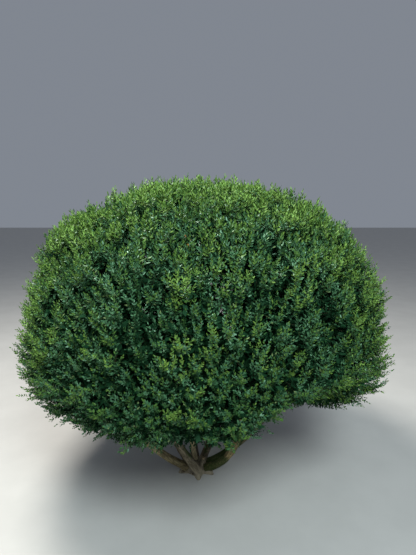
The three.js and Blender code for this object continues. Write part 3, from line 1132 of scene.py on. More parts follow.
@dataclass
class Stems:
    """The eight bare stems, from the root crown to below their masses."""

    crown: Crown
    foot_distance: float = 0.062
    foot_height: float = 0.026
    leave_pull: float = 0.4
    arrive_pull: float = 0.35
    tip_share: float = 0.995
    tip_radius: float = 0.013
    taper: float = 1.3
    flute: float = 0.06
    flute_twist: float = 3.0
    collar: float = 0.10
    collar_length: float = 0.055
    knots: float = 0.0028
    knot_size: float = 0.045
    ridges: float = 0.0016
    ridge_size: float = 0.009
    ridge_draw: float = 0.22
    sides: int = 36
    rings: int = 110
    stems: tuple[Stem, ...] = (
        Stem(foot=8, leans=4, lean=62, butt=0.022, turned=0, enters=-40, arrives=50),
        Stem(foot=56, leans=54, lean=40, butt=0.021, turned=0, enters=-46, arrives=40),
        Stem(foot=103, leans=103, lean=34, butt=0.023, turned=0, enters=-48, arrives=48),
        Stem(foot=151, leans=152, lean=42, butt=0.020, turned=0, enters=-44, arrives=42),
        Stem(foot=203, leans=197, lean=58, butt=0.022, turned=-6, enters=-41, arrives=55),
        Stem(foot=276, leans=205, lean=34, butt=0.025, turned=-16, enters=-47, arrives=40),
        Stem(foot=-32, leans=-24, lean=64, butt=0.021, turned=0, enters=-26, arrives=74),
    )
    leader_butt: float = 0.014
    leader_tip: float = 0.010
    leader_foot: tuple[float, float, float] = (0.0, 0.004, 0.026)
    leader_sway: tuple[float, float, float] = (-0.096, -0.040, 0.0)
    leader_pulls: tuple[float, float] = (0.35, 0.4)
    leader_share: float = 0.44
    finishes: dict[str, BarkFinish] = field(
        default_factory=lambda: {
            "right": MOSSY_BARK,
            "front_right": HALF_MOSSY_BARK,
            "front_left": TAN_BARK,
            # Painted light: the pale bark lightens the leader in the crown's shade.
            "leader": PALE_LIT_BARK,
        }
    )

    def feet(self) -> Array:
        """The stems' azimuths on the root crown, in radians."""
        return np.radians([stem.foot for stem in self.stems])

    def control(self, number: int) -> Array:
        """The four control points of a side stem's centre line, or of the leader after the last.

        A side stem leaves the root crown at its lean and arrives below its mass at another slope. The
        leader sways to the left before it turns up into the dome.

        Args:
            number: The stem's number, which is also its mass's.

        Returns:
            The control points in metres.
        """
        if number == len(self.stems):
            foot = np.array(self.leader_foot)
            tip = self.crown.point(0.0, np.pi / 2, self.leader_share)
            rise = tip[2] - foot[2]
            low = foot + self.leader_sway + (0, 0, self.leader_pulls[0] * rise)
            high = tip - (0, 0, self.leader_pulls[1] * rise)
            return np.stack([foot, low, high, tip])
        stem = self.stems[number]
        foot = direction(np.radians(stem.foot), 0.0) * self.foot_distance + (0, 0, self.foot_height)
        end = number * self.crown.side_span + np.radians(stem.turned)
        tip = self.crown.point(end, np.radians(stem.enters), self.tip_share)
        span = np.linalg.norm(tip - foot)
        leave = direction(np.radians(stem.leans), np.pi / 2 - np.radians(stem.lean))
        arrive = direction(end, np.radians(stem.arrives))
        low = foot + leave * self.leave_pull * span
        high = tip - arrive * self.arrive_pull * span
        return np.stack([foot, low, high, tip])

    def radii(self, number: int) -> tuple[float, float]:
        """A stem's radius at its butt and at its tip."""
        if number == len(self.stems):
            return self.leader_butt, self.leader_tip
        return self.stems[number].butt, self.tip_radius

    def shape(self, number: int) -> Shape:
        """One stem with the relief of its bark.

        The radius falls from the butt to the tip by a power of the share that is left, swells into a
        collar at the foot, and is fluted by a cosine of twice the turn that twists along the stem. The
        relief adds broad knots and long ridges, which are noise drawn out along the stem.

        Args:
            number: The stem's number.

        Returns:
            The stem, closed at both ends, with the grain that its bark follows.
        """
        line = even_line(self.control(number), self.rings)
        length = np.linalg.norm(np.diff(line, axis=0), axis=1).sum()
        butt, tip = self.radii(number)
        share = np.linspace(0, 1, self.rings)[:, None]
        turn = 2 * np.pi * np.arange(self.sides)[None] / self.sides
        flute = 1 + self.flute * np.cos(2 * turn + number + self.flute_twist * share)
        collar = 1 + self.collar * np.exp(-share * length / self.collar_length)
        radius = tip + (butt * collar - tip) * (1 - share) ** self.taper * flute
        level = (radius * np.cos(turn), radius * np.sin(turn))
        own = np.stack(np.broadcast_arrays(*level, length * share + number), axis=-1)
        drawn = own * (1, 1, self.ridge_draw)
        knots = self.knots * grain(own, self.knot_size, Salt.KNOTS)
        ridges = self.ridges * (1 - 2 * np.abs(grain(drawn, self.ridge_size, Salt.RIDGES)))
        radius = radius + (knots + ridges) * radius / butt
        points = tube_rings(line[None], radius[None], self.sides)[0].reshape(-1, 3)
        return Shape(
            np.concatenate([points, line[-1:], line[:1]]),
            list(closed_faces(self.rings, self.sides)),
            grain=np.concatenate([drawn.reshape(-1, 3), drawn[-1:, 0], drawn[:1, 0]]),
        )

    def build(self, barks: dict[str, bpy.types.Material]) -> None:
        """Makes each stem in its own bark. It replaces its own node.

        Args:
            barks: The materials by their names.
        """
        for number, mass in enumerate(self.crown.masses):
            name = "leader" if mass == "top" else mass
            bark = barks[self.finishes.get(name, OLD_BARK).name]
            piece = self.shape(number).piece(f"bark_{name}", [bark], BARK_SLOT)
            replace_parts(piece, f"stem_{name}")


@dataclass
class Spots:
    """Where the limbs of one order head: directions, shares of the reach, masses and parent limbs."""

    azimuth: Array
    elevation: Array
    share: Array
    mass: Array
    parent: Array

    def way(self) -> Array:
        """The unit vectors from the crown's middle."""
        return direction(self.azimuth, self.elevation)


@dataclass
class Limbs:
    """Many limbs of one order of branching, each a quadratic curve of three control points."""

    start: Array
    bend: Array
    end: Array
    spots: Spots

    def at(self, which: Array, share: Array | float) -> Array:
        """Points on the limbs' curves.

        Args:
            which: The limb of each point.
            share: Where on its curve the point lies, from 0 to 1.

        Returns:
            The points, one a row.
        """
        s = np.broadcast_to(share, which.shape)[:, None]
        start, bend, end = self.start[which], self.bend[which], self.end[which]
        return start * (1 - s) ** 2 + 2 * bend * s * (1 - s) + end * s**2

    def heading(self, which: Array, share: Array | float) -> Array:
        """Unit tangents of the limbs' curves.

        Args:
            which: The limb of each tangent.
            share: Where on its curve the tangent is taken, from 0 to 1.

        Returns:
            The tangents, one a row.
        """
        s = np.broadcast_to(share, which.shape)[:, None]
        start, bend, end = self.start[which], self.bend[which], self.end[which]
        return unit((bend - start) * (1 - s) + (end - bend) * s)

    def lines(self, points: int) -> Array:
        """Every limb's centre line, as limbs, points and coordinates."""
        every = np.arange(len(self.start))
        return np.stack([self.at(every, share) for share in np.linspace(0, 1, points)], axis=1)


@dataclass(frozen=True)
class Order:
    """One order of branching: how many limbs it has, how deep they end and how thick they are."""

    count: int
    edge: float
    share: float
    jitter: float
    leaves: tuple[float, float]
    pull: float
    radii: tuple[float, float]
    sides: int
    points: int
    salt: int


@dataclass
class Branchwork:
    """The limbs inside the crown. They grow on from the stems' tips, order by order, to the tufts.

    Each order's targets are spread over the outline by the golden angle. A branch leaves the bough of
    its mass, and a later limb leaves the nearest one of the order before. The bare boughs and branches
    keep to the inside, and only the twigs come near the leaves.
    """

    crown: Crown
    stems: Stems
    joint_gap: float = 0.0003
    bough_share: float = 0.68
    bough_pull: float = 0.5
    bough_taper: float = 0.2
    bough_sides: int = 12
    bough_points: int = 14
    branch: Order = Order(
        count=112,
        edge=Crown.skirt_edge,
        share=0.68,
        jitter=0,
        leaves=(0.25, 1),
        pull=0.35,
        radii=(0.0085, 0.0048),
        sides=6,
        points=7,
        salt=Salt.BRANCHES,
    )
    branchlet: Order = Order(
        count=640,
        edge=Crown.hem_edge,
        share=0.79,
        jitter=0.35,
        leaves=(0.45, 0.98),
        pull=0.35,
        radii=(0.0042, 0.0026),
        sides=5,
        points=5,
        salt=Salt.BRANCHLETS,
    )
    twig: Order = Order(
        count=2300,
        edge=Crown.hem_edge,
        share=1.0,
        jitter=0.42,
        leaves=(0.4, 0.98),
        pull=0.3,
        radii=(0.0024, 0.0013),
        sides=3,
        points=4,
        salt=Salt.TWIGS,
    )
    tuft_depth: tuple[float, float] = (0.085, 0.115)
    tuft_lift: float = 0.8
    tuft_stray: float = 0.2
    branchlet_dip: float = 0.018
    tuft_dip: float = 0.024
    gap_chance: float = 0.04
    gap_dip: float = 0.030
    valley_dip: tuple[float, float] = (0.040, 0.068)
    valley_size: float = 0.165
    valley_width: float = 0.28
    valley_top: float = np.radians(45)
    deepest: float = 0.090
    proud: float = 0.016
    proud_edges: tuple[float, float] = (np.radians(20), np.radians(50))
    hollows: tuple[Patch, ...] = (
        Patch(-104, 17, 2.2, 0.045),
        Patch(-99.5, 16, 2.0, 0.040),
        Patch(-96.5, 16.5, 2.0, 0.035),
        Patch(-94.5, 23.5, 2.6, -0.030),
        Patch(-88.5, 4.5, 2.4, 0.030),
        Patch(-112, 0.5, 2.4, 0.040),
        Patch(-68.5, 1, 2.4, 0.040),
        Patch(-81.5, 5, 2.0, 0.025),
        Patch(-108.5, 23, 2.0, 0.035),
        Patch(-76, 20, 2.2, 0.035),
        Patch(-122, 12, 2.4, 0.045),
        Patch(-133, 24, 2.6, 0.040),
        Patch(-116, 27, 2.4, 0.035),
        Patch(-60, 12, 2.2, 0.035),
        Patch(-104, 34, 4.5, 0.016),
        Patch(-95, 35, 4.5, 0.020),
        Patch(-86, 35.5, 4.5, 0.020),
        Patch(-78, 34, 4.5, 0.018),
        Patch(-69, 32, 4.0, 0.015),
        Patch(-71, -7, 3.0, -0.045),
        Patch(-29, -8, 5.0, -0.042),
        Patch(-31, -23, 3.5, -0.030),
        Patch(-85.5, 19.5, 3.4, -0.036),
        Patch(-173, 46, 8.0, 0.030),
        Patch(-155, 54, 8.0, 0.052),
        Patch(-51, -11, 3.0, -0.040),
        Patch(-92.5, -14, 4.2, 0.090),
        Patch(-92.5, -25, 5.0, 0.080),
    )

    def boughs(self) -> Limbs:
        """The boughs, from a joint's gap past the stems' tips to the hearts of the masses.

        Returns:
            One bough for each mass.
        """
        sides = self.crown.sides
        azimuth = np.append(np.arange(sides) * self.crown.side_span, 0.0)
        elevation = np.append(np.zeros(sides), np.pi / 2)
        share = np.full(sides + 1, self.bough_share)
        controls = np.stack([self.stems.control(number) for number in range(sides + 1)])
        way = unit(controls[:, 3] - controls[:, 2])
        start = controls[:, 3] + way * self.joint_gap
        end = self.crown.point(azimuth, elevation, share)
        span = np.linalg.norm(end - start, axis=1, keepdims=True)
        mass = np.arange(sides + 1)
        spots = Spots(azimuth, elevation, share, mass, mass)
        return Limbs(start, start + way * self.bough_pull * span, end, spots)

    def spots(self, order: Order, parents: Limbs) -> Spots:
        """The even spread of targets for an order, each with the nearest limb of the order before.

        Args:
            order: The order that is grown.
            parents: The limbs of the order before.

        Returns:
            The targets at the order's own share of the reach.
        """
        azimuth, elevation = self.crown.targets(order.count, order.edge, order.jitter, order.salt)
        parent = nearest(direction(azimuth, elevation), parents.spots.way())
        share = np.full(order.count, order.share)
        return Spots(azimuth, elevation, share, parents.spots.mass[parent], parent)

    def grown(self, order: Order, parents: Limbs, leave: Array, spots: Spots, end: Array) -> Limbs:
        """The limbs of an order. Each leaves its parent along its heading and bends to its own end.

        Args:
            order: The order that is grown.
            parents: The limbs of the order before.
            leave: The share of its parent's length that each limb leaves at.
            spots: Where the limbs head.
            end: Where each limb ends.

        Returns:
            The limbs.
        """
        start = parents.at(spots.parent, leave)
        span = np.linalg.norm(end - start, axis=1, keepdims=True)
        bend = start + parents.heading(spots.parent, leave) * order.pull * span
        return Limbs(start, bend, end, spots)

    def branches(self, boughs: Limbs) -> Limbs:
        """The branches to the source's own targets. A low target is reached from low on the bough.

        Args:
            boughs: The boughs that they leave, one for each mass.

        Returns:
            The branches, one for each target.
        """
        order = self.branch
        azimuth, elevation = self.crown.targets(order.count, order.edge, order.jitter, order.salt)
        mass = self.crown.mass_of(azimuth, elevation)
        height = ease(self.crown.skirt_edge, self.crown.dome_edge, elevation)
        leave = between(order.leaves, np.where(mass == self.crown.sides, 1.0, height))
        spots = Spots(azimuth, elevation, np.full(order.count, order.share), mass, mass)
        return self.grown(order, boughs, leave, spots, self.crown.point(azimuth, elevation, spots.share))

    def branchlets(self, branches: Limbs) -> Limbs:
        """The branchlets, which end at an even depth below the outline.

        Args:
            branches: The branches that they leave.

        Returns:
            The branchlets.
        """
        order = self.branchlet
        spots = self.spots(order, branches)
        leave = between(order.leaves, chance(np.arange(order.count), order.salt + LimbDraw.LEAVE))
        end = self.crown.point(spots.azimuth, spots.elevation, spots.share)
        return self.grown(order, branches, leave, spots, end)

    def dips(self, spots: Spots) -> Array:
        """How far each tuft's surface lies below the outline, as a share of the reach.

        Args:
            spots: Where the tufts are.

        Returns:
            Chance dips of the branchlet and of the tuft, a few chance gaps, winding valleys where a
            noise crosses zero, which are deeper on top, and the named hollows. Below the dome all of
            it stands a little proud.
        """
        index = np.arange(len(spots.parent))
        dip = self.branchlet_dip * chance(spots.parent, Salt.BRANCHLET_DIPS)
        dip = dip + self.tuft_dip * chance(index, Salt.TUFT_DIPS)
        dip = dip + self.gap_dip * (chance(index, Salt.GAPS) < self.gap_chance)
        places = self.crown.point(spots.azimuth, spots.elevation, 1)
        swell = np.abs(grain(places, self.valley_size, Salt.VALLEYS))
        depth = between(self.valley_dip, ease(0, self.valley_top, spots.elevation))
        dip = dip + depth * (1 - ease(0, self.valley_width, swell))
        dip = np.minimum(dip + total(self.hollows, spots.azimuth, spots.elevation), self.deepest)
        return dip - self.proud * (1 - ease(*self.proud_edges, spots.elevation))

    def growth(self, spots: Spots, salt: int) -> Array:
        """The way that the growth of each tuft points: outwards, lifted to the light, and astray.

        Args:
            spots: Where the tufts are.
            salt: Which of many repeatable strays to take.

        Returns:
            One unit vector for each tuft.
        """
        stray = self.tuft_stray * spread_vectors(np.arange(len(spots.parent)), salt)
        return unit(self.crown.outwards(spots.azimuth, spots.elevation) + self.tuft_lift * SKY + stray)

    def twigs(self, branchlets: Limbs) -> Limbs:
        """The twigs. Each ends a short way in from its tuft's surface, where the tuft's shoots start.

        Args:
            branchlets: The branchlets that they leave.

        Returns:
            The twigs, one for each tuft.
        """
        order = self.twig
        spots = self.spots(order, branchlets)
        spots.share = 1 - self.dips(spots)
        index = np.arange(order.count)
        leave = between(order.leaves, chance(index, order.salt + LimbDraw.LEAVE))
        depth = between(self.tuft_depth, chance(index, order.salt + LimbDraw.DEPTH))
        inwards = self.growth(spots, order.salt + LimbDraw.GROWTH) * depth[:, None]
        end = self.crown.point(spots.azimuth, spots.elevation, spots.share) - inwards
        return self.grown(order, branchlets, leave, spots, end)

    def grow(self) -> list[Limbs]:
        """Grows all the orders, each from the one before.

        Returns:
            The boughs, branches, branchlets and twigs.
        """
        boughs = self.boughs()
        branches = self.branches(boughs)
        branchlets = self.branchlets(branches)
        return [boughs, branches, branchlets, self.twigs(branchlets)]

    def tubes(self, limbs: Limbs, order: Order, mass: int) -> Shape:
        """The limbs of one order and mass as tapering tubes.

        Args:
            limbs: The limbs of the order.
            order: Their sizes.
            mass: The mass's number.

        Returns:
            The tubes as one shape.
        """
        lines = limbs.lines(order.points)[limbs.spots.mass == mass]
        radii = between(order.radii, np.linspace(0, 1, order.points - 1))
        return pointed_tubes(lines, np.tile(radii, (len(lines), 1)), order.sides)

    def bough(self, boughs: Limbs, mass: int) -> Shape:
        """The bough of one mass, which goes on from its stem's tip at the same thickness.

        Args:
            boughs: The boughs, one for each mass.
            mass: The mass's number.

        Returns:
            One tapering tube.
        """
        taper = 1 - self.bough_taper * np.linspace(0, 1, self.bough_points - 1)
        radii = self.stems.radii(mass)[1] * taper
        return pointed_tubes(boughs.lines(self.bough_points)[[mass]], radii[None], self.bough_sides)

    def build(self, grown: list[Limbs], bark: bpy.types.Material, young: bpy.types.Material) -> None:
        """Makes a piece of boughs and a piece of twigs for each mass.

        Args:
            grown: The boughs, branches, branchlets and twigs.
            bark: The branches' bark.
            young: The twigs' bark.
        """
        boughs, branches, branchlets, twigs = grown
        for mass, name in enumerate(self.crown.masses):
            wood = joined([self.bough(boughs, mass), self.tubes(branches, self.branch, mass)])
            thin = [self.tubes(branchlets, self.branchlet, mass), self.tubes(twigs, self.twig, mass)]
            for shape, kind, material in ((wood, "boughs", bark), (joined(thin), "twigs", young)):
                shape.grain = shape.points
                piece = shape.piece(f"{kind}_{name}", [material], BARK_SLOT)
                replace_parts(piece, f"foliage_{name}")


@dataclass(frozen=True)
class Blade:
    """A leaf's oval outline for a length of 1, folded along its midrib and drooping to its tip."""

    sections: tuple[tuple[float, float], ...] = ((0.28, 0.18), (0.70, 0.155))
    fold: float = 0.28
    droop: float = 0.07

    def corners(self) -> Array:
        """The corners: along the leaf, across it and off its face, from the root round to the root.

        Returns:
            The root, one edge, the tip and the other edge. An edge lies below the midrib by the fold
            times its half width, and by the droop times its squared distance from the root.
        """
        edge = np.array(self.sections)
        other = edge[::-1] * (1, -1)
        flat = np.concatenate([[(0, 0)], edge, [(1, 0)], other])
        off = -self.fold * np.abs(flat[:, 1]) - self.droop * flat[:, 0] ** 2
        return np.column_stack([flat, off])

    def faces(self) -> Array:
        """The faces of the two halves, which meet at the midrib with their upper sides out.

        Returns:
            The corner numbers, one half a row.
        """
        tip = len(self.sections) + 1
        one = np.arange(tip + 1)
        other = np.append(np.arange(tip, 2 * tip), 0)
        return np.stack([one, other])


@dataclass(frozen=True)
class Sprig:
    """How leaves stand on a stretch of a shoot: their pairs, sizes, angles and chance strays.

    Lengths are in metres. The stretch runs from the first to the second distance below the shoot's
    tip, and where it reaches the tip, it ends in one leaf. Sizes, angles and the score for young
    growth and painted light go from their first value to their second along it, and a deep sprig's
    low score paints shade. The faces weigh where a leaf's upper side turns: to the shoot's tip, to
    the crown's outside and to the sky. Low on the crown, from the first of the low edges down to the
    second, leaves shrink to a low length and width.
    """

    blade: Blade
    pairs: int
    length: tuple[float, float]
    stretch: tuple[float, float]
    salt: int
    sizes: tuple[float, float] = (1.0, 0.80)
    angles: tuple[float, float] = (np.radians(54), np.radians(21))
    # Rises towards the tip, where leaves are younger; negative values paint shade on deeper leaves.
    fresh: tuple[float, float] = (0.0, 0.18)
    vigour: tuple[float, float] = (0.86, 1.14)
    tip_angle: float = np.radians(10)
    angle_stray: float = np.radians(10)
    turn_stray: float = 0.25
    faces: tuple[float, float, float] = (0.5, 0.5, 0.35)
    face_stray: float = 0.80
    place_stray: float = 0.012
    lowest: float = 0.9
    # The share of the shoot's score, young growth with painted light, that the leaves get.
    lit: float = 1.0
    low_edges: tuple[float, float] = (np.radians(42), np.radians(14))
    low_length: float = 1.0
    low_width: float = 1.0


@dataclass
class Leaves:
    """Many leaves of one blade: their corners and shoots, their place's share of young growth and painted
    light, and the tint dealt to each.
    """

    corners: Array
    shoot: Array
    fresh: Array
    tint: Array | None = None


@dataclass
class Foliage:
    """The shoots on each tuft and the crossed pairs of leaves along them."""

    crown: Crown
    tip_sprig: Sprig = Sprig(
        blade=Blade(),
        pairs=4,
        length=(0.0155, 0.0220),
        stretch=(0.036, 0.0),
        salt=Salt.LEAVES,
        low_length=0.72,
        low_width=0.88,
    )
    low_sprig: Sprig = Sprig(
        blade=Blade(sections=((0.45, 0.25),)),
        pairs=3,
        length=(0.0160, 0.0215),
        stretch=(0.080, 0.0360),
        salt=Salt.LEAVES,
        sizes=(1.0, 1.0),
        angles=(np.radians(74), np.radians(62)),
        # Painted shade: lower scores and a smaller lit share darken the leaves below the tips.
        fresh=(-0.26, -0.10),
        lit=0.6,
    )
    shade_sprig: Sprig = Sprig(
        blade=Blade(sections=((0.45, 0.27),)),
        pairs=2,
        length=(0.032, 0.045),
        stretch=(0.050, 0.0),
        salt=Salt.SHADED_LEAVES,
        turn_stray=0.6,
    )
    shoots: int = 20500
    shoot_jitter: float = 0.46
    shoot_radius: float = 0.0010
    shoot_sides: int = 3
    tip_share: float = 0.993
    shoot_dip: float = 0.014
    tuft_round: float = 0.033
    tuft_width: float = 0.040
    tuft_reach: float = 1.25
    top_edges: tuple[float, float] = (np.radians(5), np.radians(50))
    under_edges: tuple[float, float] = (0.0, np.radians(-15))
    shoot_lift: tuple[float, float] = (0.2, 1.6)
    stray_chance: float = 0.20
    stray_sides: float = 0.25
    stray_under: float = 0.35
    stray_least: float = 0.4
    stray_length: tuple[float, float] = (0.010, 0.040)
    weak_counts: tuple[int, ...] = (9400, 6800, 6000, 2400)
    weak_leave: tuple[float, float] = (0.3, 1.0)
    salt_step: int = 10
    weak_lengths: tuple[tuple[float, float], ...] = (
        (0.045, 0.080),
        (0.060, 0.115),
        (0.080, 0.180),
        (0.100, 0.340),
    )
    weak_strays: tuple[float, ...] = (1.1, 1.3, 1.9, 3.0)
    weak_shares: tuple[float, ...] = (0.92, 0.88, 0.82, 0.76)
    # The four narrow patches are clumps of young growth. The broad ones paint light: on the front below
    # the dome, on the left and right rims and low on the right.
    young_and_lit_patches: tuple[Patch, ...] = (
        Patch(-94.5, 23, 3.2, 0.80),
        Patch(-94.5, 11, 2.6, 0.36),
        Patch(-49, 29, 4.0, 0.34),
        Patch(-94.5, -6, 3.2, 0.38),
        Patch(-87, 33, 12.0, 0.05),
        Patch(-129, 21, 9.0, 0.18),
        Patch(-137, 42, 10.0, 0.15),
        Patch(-41, 18, 8.0, 0.14),
        Patch(-52, 43, 10.0, 0.12),
        Patch(-66, -2, 13.0, 0.10),
    )
    fresh_base: float = 0.14
    # Lighter on top: partly younger growth, partly painted light from above.
    top_growth_and_light: float = 0.38
    top_growth_and_light_edges: tuple[float, float] = (np.radians(26), np.radians(60))
    # Painted rim light on the left and right flanks.
    left_rim_light: float = 0.28
    right_rim_light: float = 0.18
    flank_starts: tuple[float, float] = (np.radians(30), np.radians(62))
    flank_ends: tuple[float, float] = (np.radians(145), np.radians(115))
    flank_heights: tuple[float, float] = (np.radians(-35), np.radians(15))
    # Painted shade: darker on the underside.
    painted_under_shade: float = 0.19
    painted_under_shade_edges: tuple[float, float] = (np.radians(4), np.radians(-28))
    branchlet_spread: float = 0.14
    tuft_spread: float = 0.09
    shoot_spread: float = 0.20
    leaf_spread: float = 0.17
    # Painted shade: darker towards each tuft's sunken edge.
    tuft_shading: tuple[float, float] = (0.10, 0.20)
    # Painted light on proud tufts and painted shade on sunken ones.
    proud_shading: float = 3.4
    proud_share: float = 0.969
    # The lowest step, the shaded tint, is painted shade.
    tint_steps: tuple[Tint, ...] = (Tint.SHADED, Tint.DEEP, Tint.MIDDLE, Tint.FRESH, Tint.YOUNG)
    tint_edges: tuple[float, ...] = (-0.06, 0.34, 0.56, 0.80)
    # Painted sheen: the sky's reflection on leaves facing the front, as a bluer tint.
    sheen_chance: tuple[float, float] = (0.22, 0.70)
    sheen_top: tuple[float, float] = (np.radians(60), np.radians(35))
    sheen_under: float = 0.7
    sheen_under_edges: tuple[float, float] = (np.radians(8), np.radians(-15))
    pale_chance: float = 0.012
    rusty_chance: float = 0.00003
    odd_shoots: tuple[tuple[Tint, float, float], ...] = (
        (Tint.RUSTY, -94.0, 38.9),
        (Tint.PALE, -163.0, 10.0),
        (Tint.PALE, -107.0, -16.0),
    )
    odd_share: float = 0.4

    def off_tuft(self, spots: Spots, twigs: Limbs) -> Array:
        """How far shoots stand from the middle of their tufts, in tuft widths and up to a limit.

        Args:
            spots: Where the shoots are. Their parents are the tufts.
            twigs: The twigs, one for each tuft.

        Returns:
            The distance for each shoot.
        """
        away = np.linalg.norm(spots.way() - twigs.spots.way()[spots.parent], axis=1)
        return np.minimum(away / self.tuft_width, self.tuft_reach)

    def outer_shoots(self, twigs: Limbs) -> Limbs:
        """The shoots that make the clipped surface, each a straight line from its tuft to its tip.

        A shoot's tip lies at its tuft's depth, a little deeper towards the tuft's edge, so that each
        tuft is a rounded clump. A few shoots stand out of the surface, most of them on top.

        Args:
            twigs: The twigs, one for each tuft.

        Returns:
            The shoots.
        """
        index = np.arange(self.shoots)
        hem = self.crown.hem_edge
        azimuth, elevation = self.crown.targets(self.shoots, hem, self.shoot_jitter, Salt.SHOOTS)
        tuft = nearest(direction(azimuth, elevation), twigs.spots.way())
        spots = Spots(azimuth, elevation, twigs.spots.share[tuft], twigs.spots.mass[tuft], tuft)
        share = self.tip_share * spots.share - self.tuft_round * self.off_tuft(spots, twigs) ** 2
        spots.share = share + self.shoot_dip * spread(index, Salt.SHOOT_DEPTHS)
        top = ease(*self.top_edges, elevation)
        under = ease(*self.under_edges, elevation)
        likely = self.stray_chance * (self.stray_sides + top + self.stray_under * under)
        stray = chance(index, Salt.STRAYS) < likely
        upwards = between(self.shoot_lift, top)[:, None] * SKY
        lift = unit(self.crown.outwards(azimuth, elevation) + upwards)
        length = between(self.stray_length, chance(index, Salt.STRAY_LENGTHS))
        length = length * np.maximum(self.stray_least, np.maximum(top, under))
        end = self.crown.point(azimuth, elevation, spots.share) + lift * (stray * length)[:, None]
        start = twigs.end[tuft]
        return Limbs(start, (start + end) / 2, end, spots)

    def weak_shoots(self, limbs: Limbs, kind: int) -> Limbs:
        """The weak shoots below the surface. They leave limbs at chance places, outwards and astray.

        Args:
            limbs: The limbs that they grow on.
            kind: Which of the counts, lengths and strays they have.

        Returns:
            The shoots.
        """
        index = np.arange(self.weak_counts[kind])
        salt = Salt.WEAK_SHOOTS + self.salt_step * kind
        limb = index % len(limbs.end)
        start = limbs.at(limb, between(self.weak_leave, chance(index, salt + WeakDraw.LEAVE)))
        azimuth, elevation = limbs.spots.azimuth[limb], limbs.spots.elevation[limb]
        stray = self.weak_strays[kind] * spread_vectors(index, salt + WeakDraw.STRAY)
        way = unit(self.crown.outwards(azimuth, elevation) + stray)
        length = between(self.weak_lengths[kind], chance(index, salt + WeakDraw.LENGTH))
        end = self.crown.held(start + way * length[:, None], self.weak_shares[kind])
        spots = Spots(azimuth, elevation, limbs.spots.share[limb], limbs.spots.mass[limb], limb)
        return Limbs(start, (start + end) / 2, end, spots)

    def leaves_on(self, shoots: Limbs, sprig: Sprig) -> Leaves:
        """The leaves along one stretch of every shoot: crossed pairs at its nodes, and one at the tip.

        A pair stands square to the pair before. Its leaves open by a wide angle low on the shoot and by
        a narrow one near its tip, where they are also smaller. Each leaf turns its upper side towards
        the shoot's tip, the outside of the crown and the sky.

        Args:
            shoots: The shoots.
            sprig: How the leaves stand on them.

        Returns:
            The leaves, with what their place on the shoot adds to the score for young growth and painted
            light.
        """
        salt = sprig.salt
        index = np.arange(len(shoots.start))
        along = shoots.end - shoots.start
        span = np.linalg.norm(along, axis=1, keepdims=True)
        axis = unit(along)
        side = unit(np.cross(axis, unit(spread_vectors(index, salt + LeafDraw.SIDE))))
        other = np.cross(axis, side)
        order = np.repeat(np.arange(sprig.pairs), 2)
        sign = np.tile([1.0, -1.0], sprig.pairs)
        if sprig.stretch[1] == 0:
            order, sign = np.append(order, sprig.pairs), np.append(sign, 1.0)
        step = order / sprig.pairs
        leaf = index[:, None] * len(order) + np.arange(len(order))
        vigour = between(sprig.vigour, chance(index, salt + LeafDraw.VIGOUR))[:, None]
        below = np.minimum(between(sprig.stretch, step) * vigour / span, sprig.lowest)
        place = 1 - below + sprig.place_stray * spread(leaf, salt + LeafDraw.PLACE)
        root = shoots.start[:, None] + along[:, None] * place[..., None]
        crossed = (order % 2 == 1)[:, None]
        out = np.where(crossed, other[:, None], side[:, None]) * sign[:, None]
        out = unit(out + sprig.turn_stray * spread_vectors(leaf, salt + LeafDraw.OPENING))
        angle = between(sprig.angles, step) + sprig.angle_stray * spread(leaf, salt + LeafDraw.ANGLE)
        angle = np.where(order == sprig.pairs, sprig.tip_angle, angle)[..., None]
        way = unit(axis[:, None] * np.cos(angle) + out * np.sin(angle))
        outwards = self.crown.outwards(shoots.spots.azimuth, shoots.spots.elevation)[:, None]
        weights = zip(sprig.faces, (axis[:, None], outwards, SKY))
        upper = sum(weight * towards for weight, towards in weights)
        upper = upper + sprig.face_stray * spread_vectors(leaf, salt + LeafDraw.FACE)
        across = unit(np.cross(way, upper))
        upper = np.cross(across, way)
        length = between(sprig.length, chance(leaf, salt + LeafDraw.LENGTH))
        length = length * between(sprig.sizes, step) * vigour
        low = ease(*sprig.low_edges, shoots.spots.elevation)[:, None]
        width = (length * between((1.0, sprig.low_width), low))[..., None]
        length = (length * between((1.0, sprig.low_length), low))[..., None]
        corners = sprig.blade.corners()
        parts = zip(corners.T, (way * length, across * width, upper * width))
        shape = sum(part[:, None] * towards[..., None, :] for part, towards in parts)
        points = root[..., None, :] + shape
        # Younger leaves towards the tip; a deep sprig's lower score is painted shade.
        fresh = np.tile(between(sprig.fresh, step), len(index))
        return Leaves(points.reshape(-1, len(corners), 3), np.repeat(index, len(order)), fresh)

    def flank(self, azimuth: Array) -> Array:
        """How far a direction is on the left or right flank, from 0 in front and behind to 1."""
        off = np.abs(wrapped(azimuth + np.pi / 2))
        return ease(*self.flank_starts, off) * ease(*self.flank_ends, off)

    def freshness_and_light(self, shoots: Limbs, twigs: Limbs) -> Array:
        """How young the growth of each shoot is, with painted light and shade added, from about 0 to 1.

        It is greatest on top, at the flanks and in the named patches, and least on the underside. It
        also grows with how proud a tuft stands, falls towards its edge, and differs by chance from
        branchlet to tuft to shoot. Younger growth on top and in the narrow patches is real, and so are
        the chance differences. The rest is painted: light on top, at the flanks and in the broad
        patches, and shade on the underside, in sunken tufts and at each tuft's edge.

        Args:
            shoots: The shoots.
            twigs: The twigs that carry them.

        Returns:
            The score of each shoot.
        """
        azimuth, elevation, tuft = shoots.spots.azimuth, shoots.spots.elevation, shoots.spots.parent
        # Lighter on top, partly younger growth and partly painted light; painted rim light on the flanks.
        top = self.top_growth_and_light * ease(*self.top_growth_and_light_edges, elevation)
        flank = self.flank(azimuth) * ease(*self.flank_heights, elevation)
        flank = np.where(np.cos(azimuth) > 0, self.right_rim_light, self.left_rim_light) * flank
        fresh = self.fresh_base + np.maximum(top, flank)
